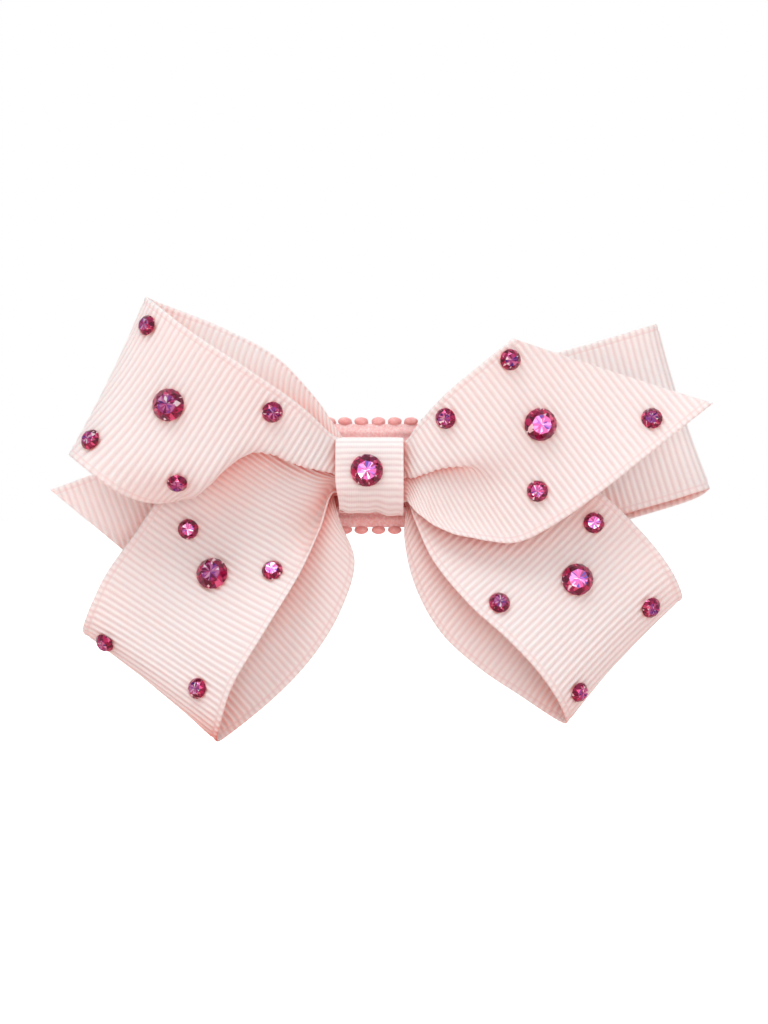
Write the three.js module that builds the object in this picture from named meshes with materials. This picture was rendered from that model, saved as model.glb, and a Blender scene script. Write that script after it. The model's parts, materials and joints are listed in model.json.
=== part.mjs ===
// Hair bow: six lengths of ribbon gathered at a knot, on a loop of elastic.
// Millimetres. Z is up, the bow faces -Y, and X runs to the right as the bow is seen
// from the front. Shapes are drawn about the middle of the knot. The finished group is
// moved so that the origin is the middle of the elastic's inner face, where hair rests.

import * as THREE from 'three';

// ---------------------------------------------------------------- driving dimensions

const RIBBON_WIDTH = 25.4;
const RIBBON_THICKNESS = 0.4;
const RIBBON_ROWS = 34;
const RIBBON_COLUMNS = 9;
const FINE_ROWS = 240;
const TURN_START = 0.35;
const TURN_SPAN = 0.3;
const CROWN_REACH = 10;

const KNOT_HALF_WIDTH = 4.9;
const WRAP_HALF_HEIGHT = 5.25;
const WRAP_HALF_DEPTH = 3.65;
const WRAP_THICKNESS = 0.5;
const WRAP_PINCH = 0.4;
const WRAP_PINCH_START = 2;
const WRAP_PINCH_SPAN = 3;
const WRAP_LAP_DEGREES = 22;
const WRAP_LAP_LIFT = 0.8;
const WRAP_STEPS = 56;
const WRAP_COLUMNS = 5;
const ROUNDING_POWER = 4;

const CENTRE_HALF_WIDTH = 4.6;
const CENTRE_HALF_HEIGHT = 4.5;
const CENTRE_HALF_DEPTH = 2.9;
const CENTRE_SIDES = 28;
const WAIST_DEPTH = 0.9;
const WAIST_FLAT = 0.8;
const WAIST_FLARE = 1.3;

const THREAD_RADIUS = 0.2;
const THREAD_TURNS = 3;
const THREAD_PITCH = 0.6;
const THREAD_SIDES = 6;
const THREAD_GAP = 0.2;

const GLUE_FRONT = 4.9;
const GLUE_THICKNESS = 0.5;
const GLUE_HALF_WIDTH = 3.6;
const GLUE_HALF_HEIGHT = 4.4;
const GLUE_SIDES = 24;

const BAND_BODY_HEIGHT = 15.2;
const BAND_THICKNESS = 0.9;
const PICOT_PITCH = 2.4;
const PICOT_HEIGHT = 1.1;
const PICOT_ROOT = 0.2;
const STEPS_PER_PICOT = 4;
const BAND_FRONT_Y = 6.05;
const BAND_REAR_Y = 14;
const BAND_FLAT_HALF = 6;
const BAND_HALF_LENGTH = 29;
const BAND_TURN_RADIUS = 1.8;
const BAND_PIECE_GAP = 0.3;
const LAP_HALF_LENGTH = 5;
const LAP_GAP = 0.2;
const STITCH_COUNT = 12;
const STITCH_HALF_WIDTH = 1.5;
const STITCH_GAP = 0.1;

const LARGE_CRYSTAL = { diameter: 4.7, height: 2.0 };
const SMALL_CRYSTAL = { diameter: 3.05, height: 1.4 };
const CRYSTAL_SIDES = 12;
const CRYSTAL_GAP = 0.2;
const GIRDLE_SHARE = 0.28;
const TABLE_SHARE = 0.6;
const KNOT_CRYSTAL_X = -0.4;
const KNOT_CRYSTAL_Z = 0.7;

// ---------------------------------------------------------------- the ribbons

// Each station is a point on the ribbon's guide edge and the direction across the ribbon,
// from its lower edge to its upper edge: [x, y, z,  across x, across y, across z].
// `side` is which edge is guided: +1 the upper, -1 the lower, 0 the middle line.
// `crown` is how far the ribbon bows outward, in degrees, on its first and last stretch.
// `share` pairs give how much of the full width shows at that distance from the knot.
const RIBBONS = {
  upper_left_loop: {
    side: 1,
    crown: [12, 0],
    shareFront: [[0, 0.22], [7.2, 0.32], [12, 0.42], [14.5, 0.6], [17, 0.8], [21.5, 0.9], [33, 1]],
    shareBack: [[0, 0.24], [8, 0.38], [17, 0.56], [24, 0.8], [36, 1]],
    stations: [
      [-5.2, -2.5, 5.6, 0, 0, 1],
      [-9.9, -6, 9.9, 0.34, 0, 0.94],
      [-17.6, -8.2, 15.2, 0.44, 0, 0.9],
      [-25.5, -7.2, 20.4, 0.44, 0, 0.9],
      [-30.7, -4.6, 24.5, 0.44, 0, 0.9],
      [-32.2, -1.6, 25.7, 0.44, 0, 0.9],
      [-31.1, 0.8, 25.3, 0.44, 0, 0.9],
      [-21.1, 0, 21.3, 0.38, 0, 0.92],
      [-13.6, -1.2, 17.2, 0.27, 0, 0.96],
      [-8, -1.5, 11.4, 0.12, 0, 0.99],
      [-5.2, -1.3, 7.4, 0, 0, 1],
    ],
  },
  lower_left_loop: {
    side: -1,
    crown: [18, 2],
    shareFront: [[0, 0.27], [5, 0.76], [12, 0.97], [20, 1], [34, 1.03]],
    shareBack: [[0, 0.3], [14, 1], [30, 1.03]],
    stations: [
      [-5.2, 0.1, -2.5, 0, 0, 1],
      [-7.4, 0.1, -8.1, -0.5, 0.06, 0.87],
      [-10.2, -1.6, -14.3, -0.66, 0.18, 0.73],
      [-15.1, -4.6, -22.5, -0.76, 0.3, 0.65],
      [-19.8, -5, -30.5, -0.78, 0.27, 0.62],
      [-21.6, -3.4, -36.4, -0.79, 0.25, 0.61],
      [-22, -0.6, -38.5, -0.79, 0.25, 0.61],
      [-20.8, 2, -38, -0.79, 0.22, 0.61],
      [-13.7, 3.4, -32.3, -0.82, 0.1, 0.57],
      [-8.3, 3.6, -26.5, -0.86, 0.05, 0.51],
      [-4.2, 3, -19.7, -0.9, 0, 0.44],
      [-2.2, 2, -12.4, -0.9, 0, 0.4],
      [-4.4, 1.4, -6.6, -0.4, 0, 0.92],
      [-5.2, 1.3, -3, 0, 0, 1],
    ],
  },
  lower_right_loop: {
    side: -1,
    crown: [12, 2],
    shareFront: [[0, 0.33], [9, 1]],
    shareBack: [[0, 0.34], [12, 1]],
    stations: [
      [5.2, -1.2, -3.6, 0, 0, 1],
      [6.5, -1.6, -6.5, 0.45, 0.05, 0.89],
      [9.1, -2.6, -12.2, 0.6, 0.1, 0.79],
      [14.4, -4.2, -18.7, 0.65, 0.15, 0.75],
      [19.5, -5.2, -23.3, 0.68, 0.18, 0.73],
      [23.9, -5.4, -27.9, 0.69, 0.2, 0.72],
      [27, -4.4, -32.3, 0.69, 0.2, 0.72],
      [28.4, -1.8, -35.7, 0.69, 0.2, 0.72],
      [27.3, 0.8, -35.6, 0.69, 0.18, 0.72],
      [22, 2, -32.2, 0.72, 0.1, 0.69],
      [15.9, 2.4, -28.1, 0.78, -0.02, 0.62],
      [10.1, 2.2, -22.6, 0.84, -0.04, 0.54],
      [6.3, 1.5, -15.3, 0.86, -0.04, 0.5],
      [5, 0.6, -8.7, 0.6, 0, 0.8],
      [5.2, 0, -4.3, 0, 0, 1],
    ],
  },
  right_rear_loop: {
    side: 0,
    crown: [6, 4],
    shareFront: [[0, 0.36], [14, 1]],
    shareBack: [[0, 0.36], [14, 1]],
    stations: [
      [5.3, 1.4, 0.1, 0, 0, 1],
      [10.4, 2.8, 0.7, -0.1, 0, 1],
      [22.1, 3.5, 3.5, -0.22, 0, 0.97],
      [35.3, 3.8, 7, -0.3, 0, 0.95],
      [44.4, 4, 9.7, -0.31, 0, 0.95],
      [45.5, 5.4, 10, -0.31, 0, 0.95],
      [44.6, 6.8, 9.4, -0.31, 0, 0.95],
      [35.5, 7, 6.6, -0.3, 0, 0.95],
      [22.2, 6.4, 3.1, -0.22, 0, 0.97],
      [10.4, 4.5, 0.7, -0.1, 0, 1],
      [5.3, 2.6, -0.1, 0, 0, 1],
    ],
  },
  front_tail: {
    side: 1,
    crown: [12, 12],
    shareFront: [[0, 0.27], [2.5, 0.55], [7.5, 0.82], [12, 0.93], [20, 1]],
    cut: [[20.8, 19.3], [49.1, 10.2]],
    stations: [
      [5.2, -2.5, 4.9, 0, 0, 1],
      [7.2, -4.5, 7.5, -0.05, 0, 1],
      [11.1, -7, 11.7, -0.26, 0, 0.96],
      [17.4, -7.5, 16.9, -0.48, 0, 0.87],
      [24.4, -6.8, 22.4, -0.59, 0, 0.8],
      [33, -6, 29.2, -0.62, 0, 0.78],
      [38.8, -5.5, 33.6, -0.62, 0, 0.78],
    ],
  },
  rear_tail: {
    side: 0,
    crown: [0, 0],
    shareFront: [[0, 0.36], [14, 1]],
    cut: [[-47.4, -1.9], [-23.9, -21.4]],
    stations: [
      [-5.2, 2.5, -0.1, 0, 0, 1],
      [-10.1, 4.1, -1.9, -0.15, 0, 1],
      [-20.4, 6.4, -5.7, -0.32, 0, 0.95],
      [-32.3, 7.7, -10.1, -0.36, 0, 0.93],
      [-44.2, 8, -14.5, -0.37, 0, 0.93],
      [-54.5, 8, -18.3, -0.37, 0, 0.93],
    ],
  },
};

// Crystals glued to each ribbon: [distance along the guide edge from the knot,
// distance across from the ribbon's middle line towards its upper edge, size].
const CRYSTALS = {
  upper_left_loop: [
    [32.6, 9.4, SMALL_CRYSTAL],
    [11, 4.5, SMALL_CRYSTAL],
    [32.4, -8.6, SMALL_CRYSTAL],
    [18.2, -10.3, SMALL_CRYSTAL],
    [24, 1.2, LARGE_CRYSTAL],
  ],
  lower_left_loop: [
    [20.1, 5.1, SMALL_CRYSTAL],
    [15.7, -8.7, SMALL_CRYSTAL],
    [38.5, 7.7, SMALL_CRYSTAL],
    [35.1, -8.3, SMALL_CRYSTAL],
    [21.8, -2, LARGE_CRYSTAL],
  ],
  front_tail: [
    [20.1, 10.6, SMALL_CRYSTAL],
    [9.3, 8.8, SMALL_CRYSTAL],
    [31.1, -8.4, SMALL_CRYSTAL],
    [16, -7.7, SMALL_CRYSTAL],
    [19.4, 0.5, LARGE_CRYSTAL],
  ],
  lower_right_loop: [
    [23.6, 8.1, SMALL_CRYSTAL],
    [21.2, -9.7, SMALL_CRYSTAL],
    [37, 6.6, SMALL_CRYSTAL],
    [38.1, -9.5, SMALL_CRYSTAL],
    [27.1, 0.5, LARGE_CRYSTAL],
  ],
};

// ---------------------------------------------------------------- materials

const material = (color, roughness, metalness = 0) =>
  new THREE.MeshStandardMaterial({ color, roughness, metalness });

const MATERIALS = {
  ribbon: material('#f6e0dd', 0.6),
  elastic: material('#f0a9a6', 0.8),
  thread: material('#f4d9d6', 0.5),
  glue: material('#efe6d2', 0.35),
  crystal: material('#c0256f', 0.08, 0.3),
};

// ---------------------------------------------------------------- small helpers

const vector = (x, y, z) => new THREE.Vector3(x, y, z);
const clamp01 = (value) => Math.min(1, Math.max(0, value));

function smoothStep(value) {
  const t = clamp01(value);
  return t * t * (3 - 2 * t);
}

// Straight-line reading of a table of [distance, value] pairs.
function readTable(table, distance) {
  let previous = table[0];
  for (const entry of table) {
    if (distance <= entry[0]) {
      const span = entry[0] - previous[0];
      const share = span > 0 ? (distance - previous[0]) / span : 0;
      return previous[1] + (entry[1] - previous[1]) * share;
    }
    previous = entry;
  }
  return previous[1];
}

function geometryFrom(points, triangles) {
  const geometry = new THREE.BufferGeometry();
  const positions = points.flatMap((point) => [point.x, point.y, point.z]);
  geometry.setAttribute('position', new THREE.Float32BufferAttribute(positions, 3));
  geometry.setIndex(triangles);
  return geometry;
}

// Turns every face round if the closed body is inside out.
function facingOut(points, triangles) {
  let volume = 0;
  for (let i = 0; i < triangles.length; i += 3) {
    const [a, b, c] = [0, 1, 2].map((k) => points[triangles[i + k]]);
    volume += a.dot(vector(0, 0, 0).crossVectors(b, c));
  }
  return volume > 0 ? triangles : triangles.toReversed();
}

// ---------------------------------------------------------------- sheets with thickness

function sheetNormals(rows) {
  const last = rows.length - 1;
  const edge = rows[0].length - 1;
  return rows.map((row, i) => row.map((_, j) => {
    const along = rows[Math.min(i + 1, last)][j].clone().sub(rows[Math.max(i - 1, 0)][j]);
    const across = row[Math.min(j + 1, edge)].clone().sub(row[Math.max(j - 1, 0)]);
    return vector(0, 0, 0).crossVectors(along, across).normalize();
  }));
}

// A closed solid from a grid of mid-surface points, `thickness` thick.
function sheetSolid(rows, thickness) {
  const normals = sheetNormals(rows);
  const columns = rows[0].length;
  const layer = (side) => rows.flatMap((row, i) =>
    row.map((point, j) => point.clone().addScaledVector(normals[i][j], side * thickness / 2)));
  const points = [...layer(1), ...layer(-1)];
  const lower = rows.length * columns;
  const triangles = [];
  const quad = (a, b, c, d) => triangles.push(a, b, c, a, c, d);
  for (let i = 0; i + 1 < rows.length; i += 1) {
    for (let j = 0; j + 1 < columns; j += 1) {
      const a = i * columns + j;
      quad(a, a + columns, a + columns + 1, a + 1);
      quad(lower + a, lower + a + 1, lower + a + columns + 1, lower + a + columns);
    }
    const left = i * columns;
    const right = left + columns - 1;
    quad(left, lower + left, lower + left + columns, left + columns);
    quad(right, right + columns, lower + right + columns, lower + right);
  }
  const end = (rows.length - 1) * columns;
  for (let j = 0; j + 1 < columns; j += 1) {
    quad(j, j + 1, lower + j + 1, lower + j);
    quad(end + j, lower + end + j, lower + end + j + 1, end + j + 1);
  }
  return geometryFrom(points, facingOut(points, triangles));
}

// A closed solid through a list of rings, each ring a list of points, ends capped flat.
function loftSolid(rings) {
  const count = rings[0].length;
  const points = rings.flat();
  const triangles = [];
  for (let i = 0; i + 1 < rings.length; i += 1) {
    for (let j = 0; j < count; j += 1) {
      const a = i * count + j;
      const b = i * count + ((j + 1) % count);
      triangles.push(a, b, b + count, a, b + count, a + count);
    }
  }
  const capAt = (start, turned) => {
    for (let j = 1; j + 1 < count; j += 1) {
      triangles.push(start, ...(turned ? [start + j + 1, start + j] : [start + j, start + j + 1]));
    }
  };
  capAt(0, true);
  capAt((rings.length - 1) * count, false);
  return geometryFrom(points, facingOut(points, triangles));
}

// ---------------------------------------------------------------- ribbon shape

// The ribbon's frame at `step` (0 to 1 along its guide edge).
function ribbonFrames(spec) {
  const edge = new THREE.CatmullRomCurve3(
    spec.stations.map((s) => vector(s[0], s[1], s[2])), false, 'centripetal');
  const across = new THREE.CatmullRomCurve3(
    spec.stations.map((s) => vector(s[3], s[4], s[5])), false, 'catmullrom');
  const frames = [];
  let distance = 0;
  for (let i = 0; i <= FINE_ROWS; i += 1) {
    const point = edge.getPoint(i / FINE_ROWS);
    if (i > 0) distance += point.distanceTo(frames[i - 1].point);
    frames.push({ point, distance, across: across.getPoint(i / FINE_ROWS).normalize() });
  }
  frames.forEach((frame, i) => {
    const ahead = frames[Math.min(i + 1, FINE_ROWS)].point;
    const behind = frames[Math.max(i - 1, 0)].point;
    const along = ahead.clone().sub(behind);
    const handed = Math.sign(spec.stations[0][0]);
    frame.outward = vector(0, 0, 0).crossVectors(along, frame.across).normalize()
      .multiplyScalar(handed);
  });
  return frames;
}

// How much of the width shows, from both ends of a loop or from the knot end of a tail.
function shareAt(spec, distance, total) {
  const front = readTable(spec.shareFront, distance);
  if (!spec.shareBack) return front;
  return Math.min(front, readTable(spec.shareBack, total - distance));
}

// A point of the ribbon: `across` is measured from its middle line, in flat millimetres.
function ribbonPoint(spec, frame, total, across) {
  const share = shareAt(spec, frame.distance, total);
  const half = RIBBON_WIDTH / 2;
  const returning = smoothStep((frame.distance / total - TURN_START) / TURN_SPAN);
  const crown = THREE.MathUtils.lerp(spec.crown[0], spec.crown[1], returning);
  const crownRise = half * Math.tan(THREE.MathUtils.degToRad(crown)) / 2;
  const ends = smoothStep(frame.distance / CROWN_REACH)
    * smoothStep((total - frame.distance) / CROWN_REACH);
  const bulge = (at) => crownRise * (1 - (at / half) ** 2) * ends;
  return frame.point.clone()
    .addScaledVector(frame.across, (across - spec.side * half) * share)
    .addScaledVector(frame.outward, bulge(across) - bulge(spec.side * half));
}

// The step at which one lengthwise line of a tail meets the straight cut.
function cutStep(line, cut) {
  const [[x0, z0], [x1, z1]] = cut;
  const sideOf = (point) => (point.x - x0) * (z1 - z0) - (point.z - z0) * (x1 - x0);
  const start = Math.sign(sideOf(line[0]));
  const past = line.findIndex((point) => sideOf(point) * start < 0);
  const before = Math.abs(sideOf(line[past - 1]));
  const after = Math.abs(sideOf(line[past]));
  return past - 1 + before / (before + after);
}

function pointAtStep(line, step) {
  const low = Math.min(Math.floor(step), line.length - 2);
  return line[low].clone().lerp(line[low + 1], step - low);
}

function ribbonRows(spec) {
  const frames = ribbonFrames(spec);
  const total = frames[FINE_ROWS].distance;
  const lines = [];
  for (let j = 0; j < RIBBON_COLUMNS; j += 1) {
    const across = RIBBON_WIDTH * (j / (RIBBON_COLUMNS - 1) - 0.5);
    const line = frames.map((frame) => ribbonPoint(spec, frame, total, across));
    lines.push({ line, end: spec.cut ? cutStep(line, spec.cut) : FINE_ROWS });
  }
  const rows = [];
  for (let i = 0; i < RIBBON_ROWS; i += 1) {
    const share = i / (RIBBON_ROWS - 1);
    rows.push(lines.map(({ line, end }) => pointAtStep(line, share * end)));
  }
  return rows;
}

const ribbonSolid = (spec) => sheetSolid(ribbonRows(spec), RIBBON_THICKNESS);

// ---------------------------------------------------------------- knot

// Distance from the centre to a rounded-square outline, for a direction given by its
// cosine and sine and the outline's two half-sizes.
function roundedReach(cosine, sine, halfA, halfB) {
  const sum = Math.abs(cosine / halfA) ** ROUNDING_POWER
    + Math.abs(sine / halfB) ** ROUNDING_POWER;
  return sum ** (-1 / ROUNDING_POWER);
}

// The wrap is a short ribbon taken once round the knot, its ends lapped at the back.
function knotWrap() {
  const reachDegrees = 180 + WRAP_LAP_DEGREES;
  const rows = [];
  for (let i = 0; i <= WRAP_STEPS; i += 1) {
    const degrees = -reachDegrees + 2 * reachDegrees * (i / WRAP_STEPS);
    const angle = THREE.MathUtils.degToRad(degrees);
    const lift = WRAP_LAP_LIFT * smoothStep((degrees - 90) / 60);
    const reach = roundedReach(Math.cos(angle), Math.sin(angle),
      WRAP_HALF_DEPTH + lift, WRAP_HALF_HEIGHT + lift / 2);
    const z = reach * Math.sin(angle);
    const pinch = WRAP_PINCH * smoothStep((-z - WRAP_PINCH_START) / WRAP_PINCH_SPAN);
    const halfWidth = KNOT_HALF_WIDTH - pinch;
    const row = [];
    for (let j = 0; j < WRAP_COLUMNS; j += 1) {
      const x = halfWidth * (2 * j / (WRAP_COLUMNS - 1) - 1);
      row.push(vector(x, -reach * Math.cos(angle), z));
    }
    rows.push(row);
  }
  return sheetSolid(rows, WRAP_THICKNESS);
}

// The gathered ribbons inside the wrap, with a waist where the thread binds them.
function gatheredCentre() {
  const stations = [-1, -0.7, -0.42, -0.22, 0, 0.22, 0.42, 0.7, 1];
  const rings = stations.map((station) => {
    const x = station * CENTRE_HALF_WIDTH;
    const waist = WAIST_DEPTH * (1 - smoothStep((Math.abs(x) - WAIST_FLAT) / WAIST_FLARE));
    const ring = [];
    for (let i = 0; i < CENTRE_SIDES; i += 1) {
      const angle = 2 * Math.PI * i / CENTRE_SIDES;
      const reach = roundedReach(Math.cos(angle), Math.sin(angle),
        CENTRE_HALF_DEPTH - waist, CENTRE_HALF_HEIGHT - waist);
      ring.push(vector(x, reach * Math.cos(angle), reach * Math.sin(angle)));
    }
    return ring;
  });
  return loftSolid(rings);
}

class ThreadCoil extends THREE.Curve {
  getPoint(t) {
    const angle = 2 * Math.PI * THREAD_TURNS * t;
    const clearance = THREAD_RADIUS + THREAD_GAP;
    const reach = roundedReach(Math.cos(angle), Math.sin(angle),
      CENTRE_HALF_DEPTH - WAIST_DEPTH + clearance, CENTRE_HALF_HEIGHT - WAIST_DEPTH + clearance);
    const x = THREAD_PITCH * THREAD_TURNS * (t - 0.5);
    return vector(x, reach * Math.cos(angle), reach * Math.sin(angle));
  }
}

function threadAlong(curve, steps) {
  const section = new THREE.Shape();
  for (let i = 0; i < THREAD_SIDES; i += 1) {
    const angle = 2 * Math.PI * i / THREAD_SIDES;
    const [x, y] = [THREAD_RADIUS * Math.cos(angle), THREAD_RADIUS * Math.sin(angle)];
    if (i === 0) section.moveTo(x, y);
    else section.lineTo(x, y);
  }
  section.closePath();
  return new THREE.ExtrudeGeometry(section, { steps, extrudePath: curve, bevelEnabled: false });
}

const bindingThread = () => threadAlong(new ThreadCoil(), 24 * THREAD_TURNS);

// The pad of set glue that holds the knot to the elastic.
function knotGlue() {
  const ring = (y) => Array.from({ length: GLUE_SIDES }, (_, i) => {
    const angle = 2 * Math.PI * i / GLUE_SIDES;
    const reach = roundedReach(Math.cos(angle), Math.sin(angle),
      GLUE_HALF_WIDTH, GLUE_HALF_HEIGHT);
    return vector(reach * Math.cos(angle), y, reach * Math.sin(angle));
  });
  return loftSolid([ring(GLUE_FRONT), ring(GLUE_FRONT + GLUE_THICKNESS)]);
}

// ---------------------------------------------------------------- elastic loop

// Depth of the front strand: flat behind the knot, then falling back towards its ends.
function frontStrandY(x) {
  const turnStart = BAND_REAR_Y - 2 * BAND_TURN_RADIUS;
  const share = (Math.abs(x) - BAND_FLAT_HALF) / (BAND_HALF_LENGTH - BAND_FLAT_HALF);
  return BAND_FRONT_Y + (turnStart - BAND_FRONT_Y) * smoothStep(share);
}

// A strip of picot-edged elastic whose middle line follows `place`, by distance along it.
function bandStrip(place, length) {
  const steps = Math.round(STEPS_PER_PICOT * length / PICOT_PITCH);
  const root = BAND_BODY_HEIGHT / 2 - PICOT_ROOT;
  const rows = [];
  for (let i = 0; i <= steps; i += 1) {
    const distance = length * i / steps;
    const { x, y } = place(distance);
    const picot = PICOT_HEIGHT * Math.abs(Math.sin(Math.PI * distance / PICOT_PITCH));
    const reach = BAND_BODY_HEIGHT / 2 + picot;
    const heights = [-reach, -root, root, reach];
    rows.push(heights.map((z) => vector(x, y, z)));
  }
  return sheetSolid(rows, BAND_THICKNESS);
}

function frontStrand() {
  const reach = BAND_HALF_LENGTH - BAND_PIECE_GAP / 2;
  const place = (distance) => ({ x: distance - reach, y: frontStrandY(distance - reach) });
  return bandStrip(place, 2 * reach);
}

function straightStrand(halfLength, y) {
  return bandStrip((distance) => ({ x: distance - halfLength, y }), 2 * halfLength);
}

// The half-circle turn at one end of the elastic, on side -1 or +1.
function bandTurn(side) {
  const middleY = BAND_REAR_Y - BAND_TURN_RADIUS;
  const skipped = BAND_PIECE_GAP / 2;
  const length = Math.PI * BAND_TURN_RADIUS - 2 * skipped;
  const place = (distance) => {
    const angle = (distance + skipped) / BAND_TURN_RADIUS - Math.PI / 2;
    return {
      x: side * (BAND_HALF_LENGTH + BAND_TURN_RADIUS * Math.cos(angle)),
      y: middleY + BAND_TURN_RADIUS * Math.sin(angle),
    };
  };
  return bandStrip(place, length);
}

// Zigzag stitching that holds the elastic's lapped ends together.
function seamStitches() {
  const lapFace = BAND_REAR_Y - 1.5 * BAND_THICKNESS - LAP_GAP;
  const y = lapFace - THREAD_RADIUS - STITCH_GAP;
  const height = BAND_BODY_HEIGHT - 2 * STITCH_HALF_WIDTH;
  const points = Array.from({ length: STITCH_COUNT + 1 }, (_, i) =>
    vector(i % 2 ? STITCH_HALF_WIDTH : -STITCH_HALF_WIDTH, y, (i / STITCH_COUNT - 0.5) * height));
  const line = new THREE.CatmullRomCurve3(points, false, 'centripetal');
  return threadAlong(line, 6 * STITCH_COUNT);
}

// ---------------------------------------------------------------- crystals

// A flat-backed round crystal: base, girdle, sloping crown and flat table.
function crystalGeometry({ diameter, height }) {
  const radius = diameter / 2;
  const profile = [
    [0, 0],
    [radius, 0],
    [radius, GIRDLE_SHARE * height],
    [TABLE_SHARE * radius, height],
    [0, height],
  ];
  const outline = profile.map(([r, h]) => new THREE.Vector2(r, h));
  return new THREE.LatheGeometry(outline, CRYSTAL_SIDES);
}

function placeCrystal(mesh, foot, outward) {
  mesh.position.copy(foot);
  mesh.quaternion.setFromUnitVectors(vector(0, 1, 0), outward);
  return mesh;
}

// Foot and outward direction of a crystal on a ribbon.
function ribbonSeat(spec, distance, across) {
  const frames = ribbonFrames(spec);
  const total = frames[FINE_ROWS].distance;
  const index = frames.findIndex((frame) => frame.distance >= distance);
  const at = (i, offset) => ribbonPoint(spec, frames[i], total, across + offset);
  const point = at(index, 0);
  const along = at(index + 2, 0).sub(at(index - 2, 0));
  const rib = at(index, 0.5).sub(at(index, -0.5));
  const outward = vector(0, 0, 0).crossVectors(along, rib).normalize();
  if (outward.y > 0) outward.negate();
  const foot = point.addScaledVector(outward, RIBBON_THICKNESS / 2 + CRYSTAL_GAP);
  return { foot, outward };
}

// ---------------------------------------------------------------- assembly

const group = new THREE.Group();

function addMesh(name, geometry, slot) {
  const mesh = new THREE.Mesh(geometry, MATERIALS[slot]);
  mesh.name = name;
  group.add(mesh);
  return mesh;
}

for (const [name, spec] of Object.entries(RIBBONS)) {
  addMesh(name, ribbonSolid(spec), 'ribbon');
  (CRYSTALS[name] ?? []).forEach(([distance, across, size], i) => {
    const mesh = addMesh(`${name}_crystal_${i + 1}`, crystalGeometry(size), 'crystal');
    const { foot, outward } = ribbonSeat(spec, distance, across);
    placeCrystal(mesh, foot, outward);
  });
}

addMesh('gathered_centre', gatheredCentre(), 'ribbon');
addMesh('binding_thread', bindingThread(), 'thread');
addMesh('knot_wrap', knotWrap(), 'ribbon');
addMesh('knot_glue', knotGlue(), 'glue');

const wrapFace = WRAP_HALF_DEPTH + WRAP_THICKNESS / 2;
const knotCrystalFoot = vector(KNOT_CRYSTAL_X, -(wrapFace + CRYSTAL_GAP), KNOT_CRYSTAL_Z);
placeCrystal(addMesh('knot_crystal', crystalGeometry(LARGE_CRYSTAL), 'crystal'),
  knotCrystalFoot, vector(0, -1, 0));

addMesh('band_front', frontStrand(), 'elastic');
addMesh('band_rear',
  straightStrand(BAND_HALF_LENGTH - BAND_PIECE_GAP / 2, BAND_REAR_Y), 'elastic');
addMesh('band_left_turn', bandTurn(-1), 'elastic');
addMesh('band_right_turn', bandTurn(1), 'elastic');
addMesh('band_lap',
  straightStrand(LAP_HALF_LENGTH, BAND_REAR_Y - BAND_THICKNESS - LAP_GAP), 'elastic');
addMesh('seam_stitches', seamStitches(), 'thread');

// The elastic's inner face, behind the knot, becomes the plane y = 0.
group.position.y = -(BAND_FRONT_Y + BAND_THICKNESS / 2);

export default group;
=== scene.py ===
import json
import math

import bmesh
import bpy
import numpy as np
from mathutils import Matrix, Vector


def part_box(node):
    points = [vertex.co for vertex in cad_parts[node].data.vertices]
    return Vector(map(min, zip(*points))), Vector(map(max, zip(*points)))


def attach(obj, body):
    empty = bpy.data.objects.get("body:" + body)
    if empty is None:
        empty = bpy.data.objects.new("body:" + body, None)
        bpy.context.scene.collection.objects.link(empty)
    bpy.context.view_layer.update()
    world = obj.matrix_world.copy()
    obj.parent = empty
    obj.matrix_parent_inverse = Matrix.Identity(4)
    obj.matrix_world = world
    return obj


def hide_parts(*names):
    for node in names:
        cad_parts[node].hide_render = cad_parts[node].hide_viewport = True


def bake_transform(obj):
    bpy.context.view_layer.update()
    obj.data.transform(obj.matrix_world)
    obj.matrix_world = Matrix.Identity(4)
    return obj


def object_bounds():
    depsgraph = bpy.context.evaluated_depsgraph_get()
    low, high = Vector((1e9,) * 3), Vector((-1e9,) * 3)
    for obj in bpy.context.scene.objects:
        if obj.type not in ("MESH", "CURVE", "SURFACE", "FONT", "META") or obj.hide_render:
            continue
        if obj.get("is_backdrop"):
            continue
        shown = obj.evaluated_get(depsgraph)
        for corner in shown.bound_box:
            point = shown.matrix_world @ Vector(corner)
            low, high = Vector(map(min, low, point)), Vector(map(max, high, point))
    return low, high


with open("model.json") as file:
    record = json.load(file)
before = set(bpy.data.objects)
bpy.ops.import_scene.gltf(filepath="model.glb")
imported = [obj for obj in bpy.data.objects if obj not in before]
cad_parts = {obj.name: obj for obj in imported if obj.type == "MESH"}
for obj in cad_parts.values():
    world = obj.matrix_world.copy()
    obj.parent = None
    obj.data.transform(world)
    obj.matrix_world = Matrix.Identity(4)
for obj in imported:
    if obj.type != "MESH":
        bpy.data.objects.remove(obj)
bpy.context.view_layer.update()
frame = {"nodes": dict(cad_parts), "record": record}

# The looks of the hair bow. Shapes are drawn in millimetres about the middle of the knot,
# with Z up and the front facing -Y, and are moved into the frame by to_frame().

MM = 0.001


def middle(node):
    low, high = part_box(node)
    return (low + high) / 2


KNOT = np.array(middle("gathered_centre"))


def to_frame(points):
    """Millimetres about the knot to metres in the frame."""
    return np.asarray(points, float) * MM + KNOT


def from_frame(point):
    """Metres in the frame to millimetres about the knot."""
    return (np.asarray(point, float) - KNOT) / MM


def box_of(node):
    """Lowest and highest corner of a CAD node, in millimetres about the knot."""
    low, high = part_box(node)
    return from_frame(low), from_frame(high)


# ---------------------------------------------------------------- ribbon sizes, in millimetres

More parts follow.
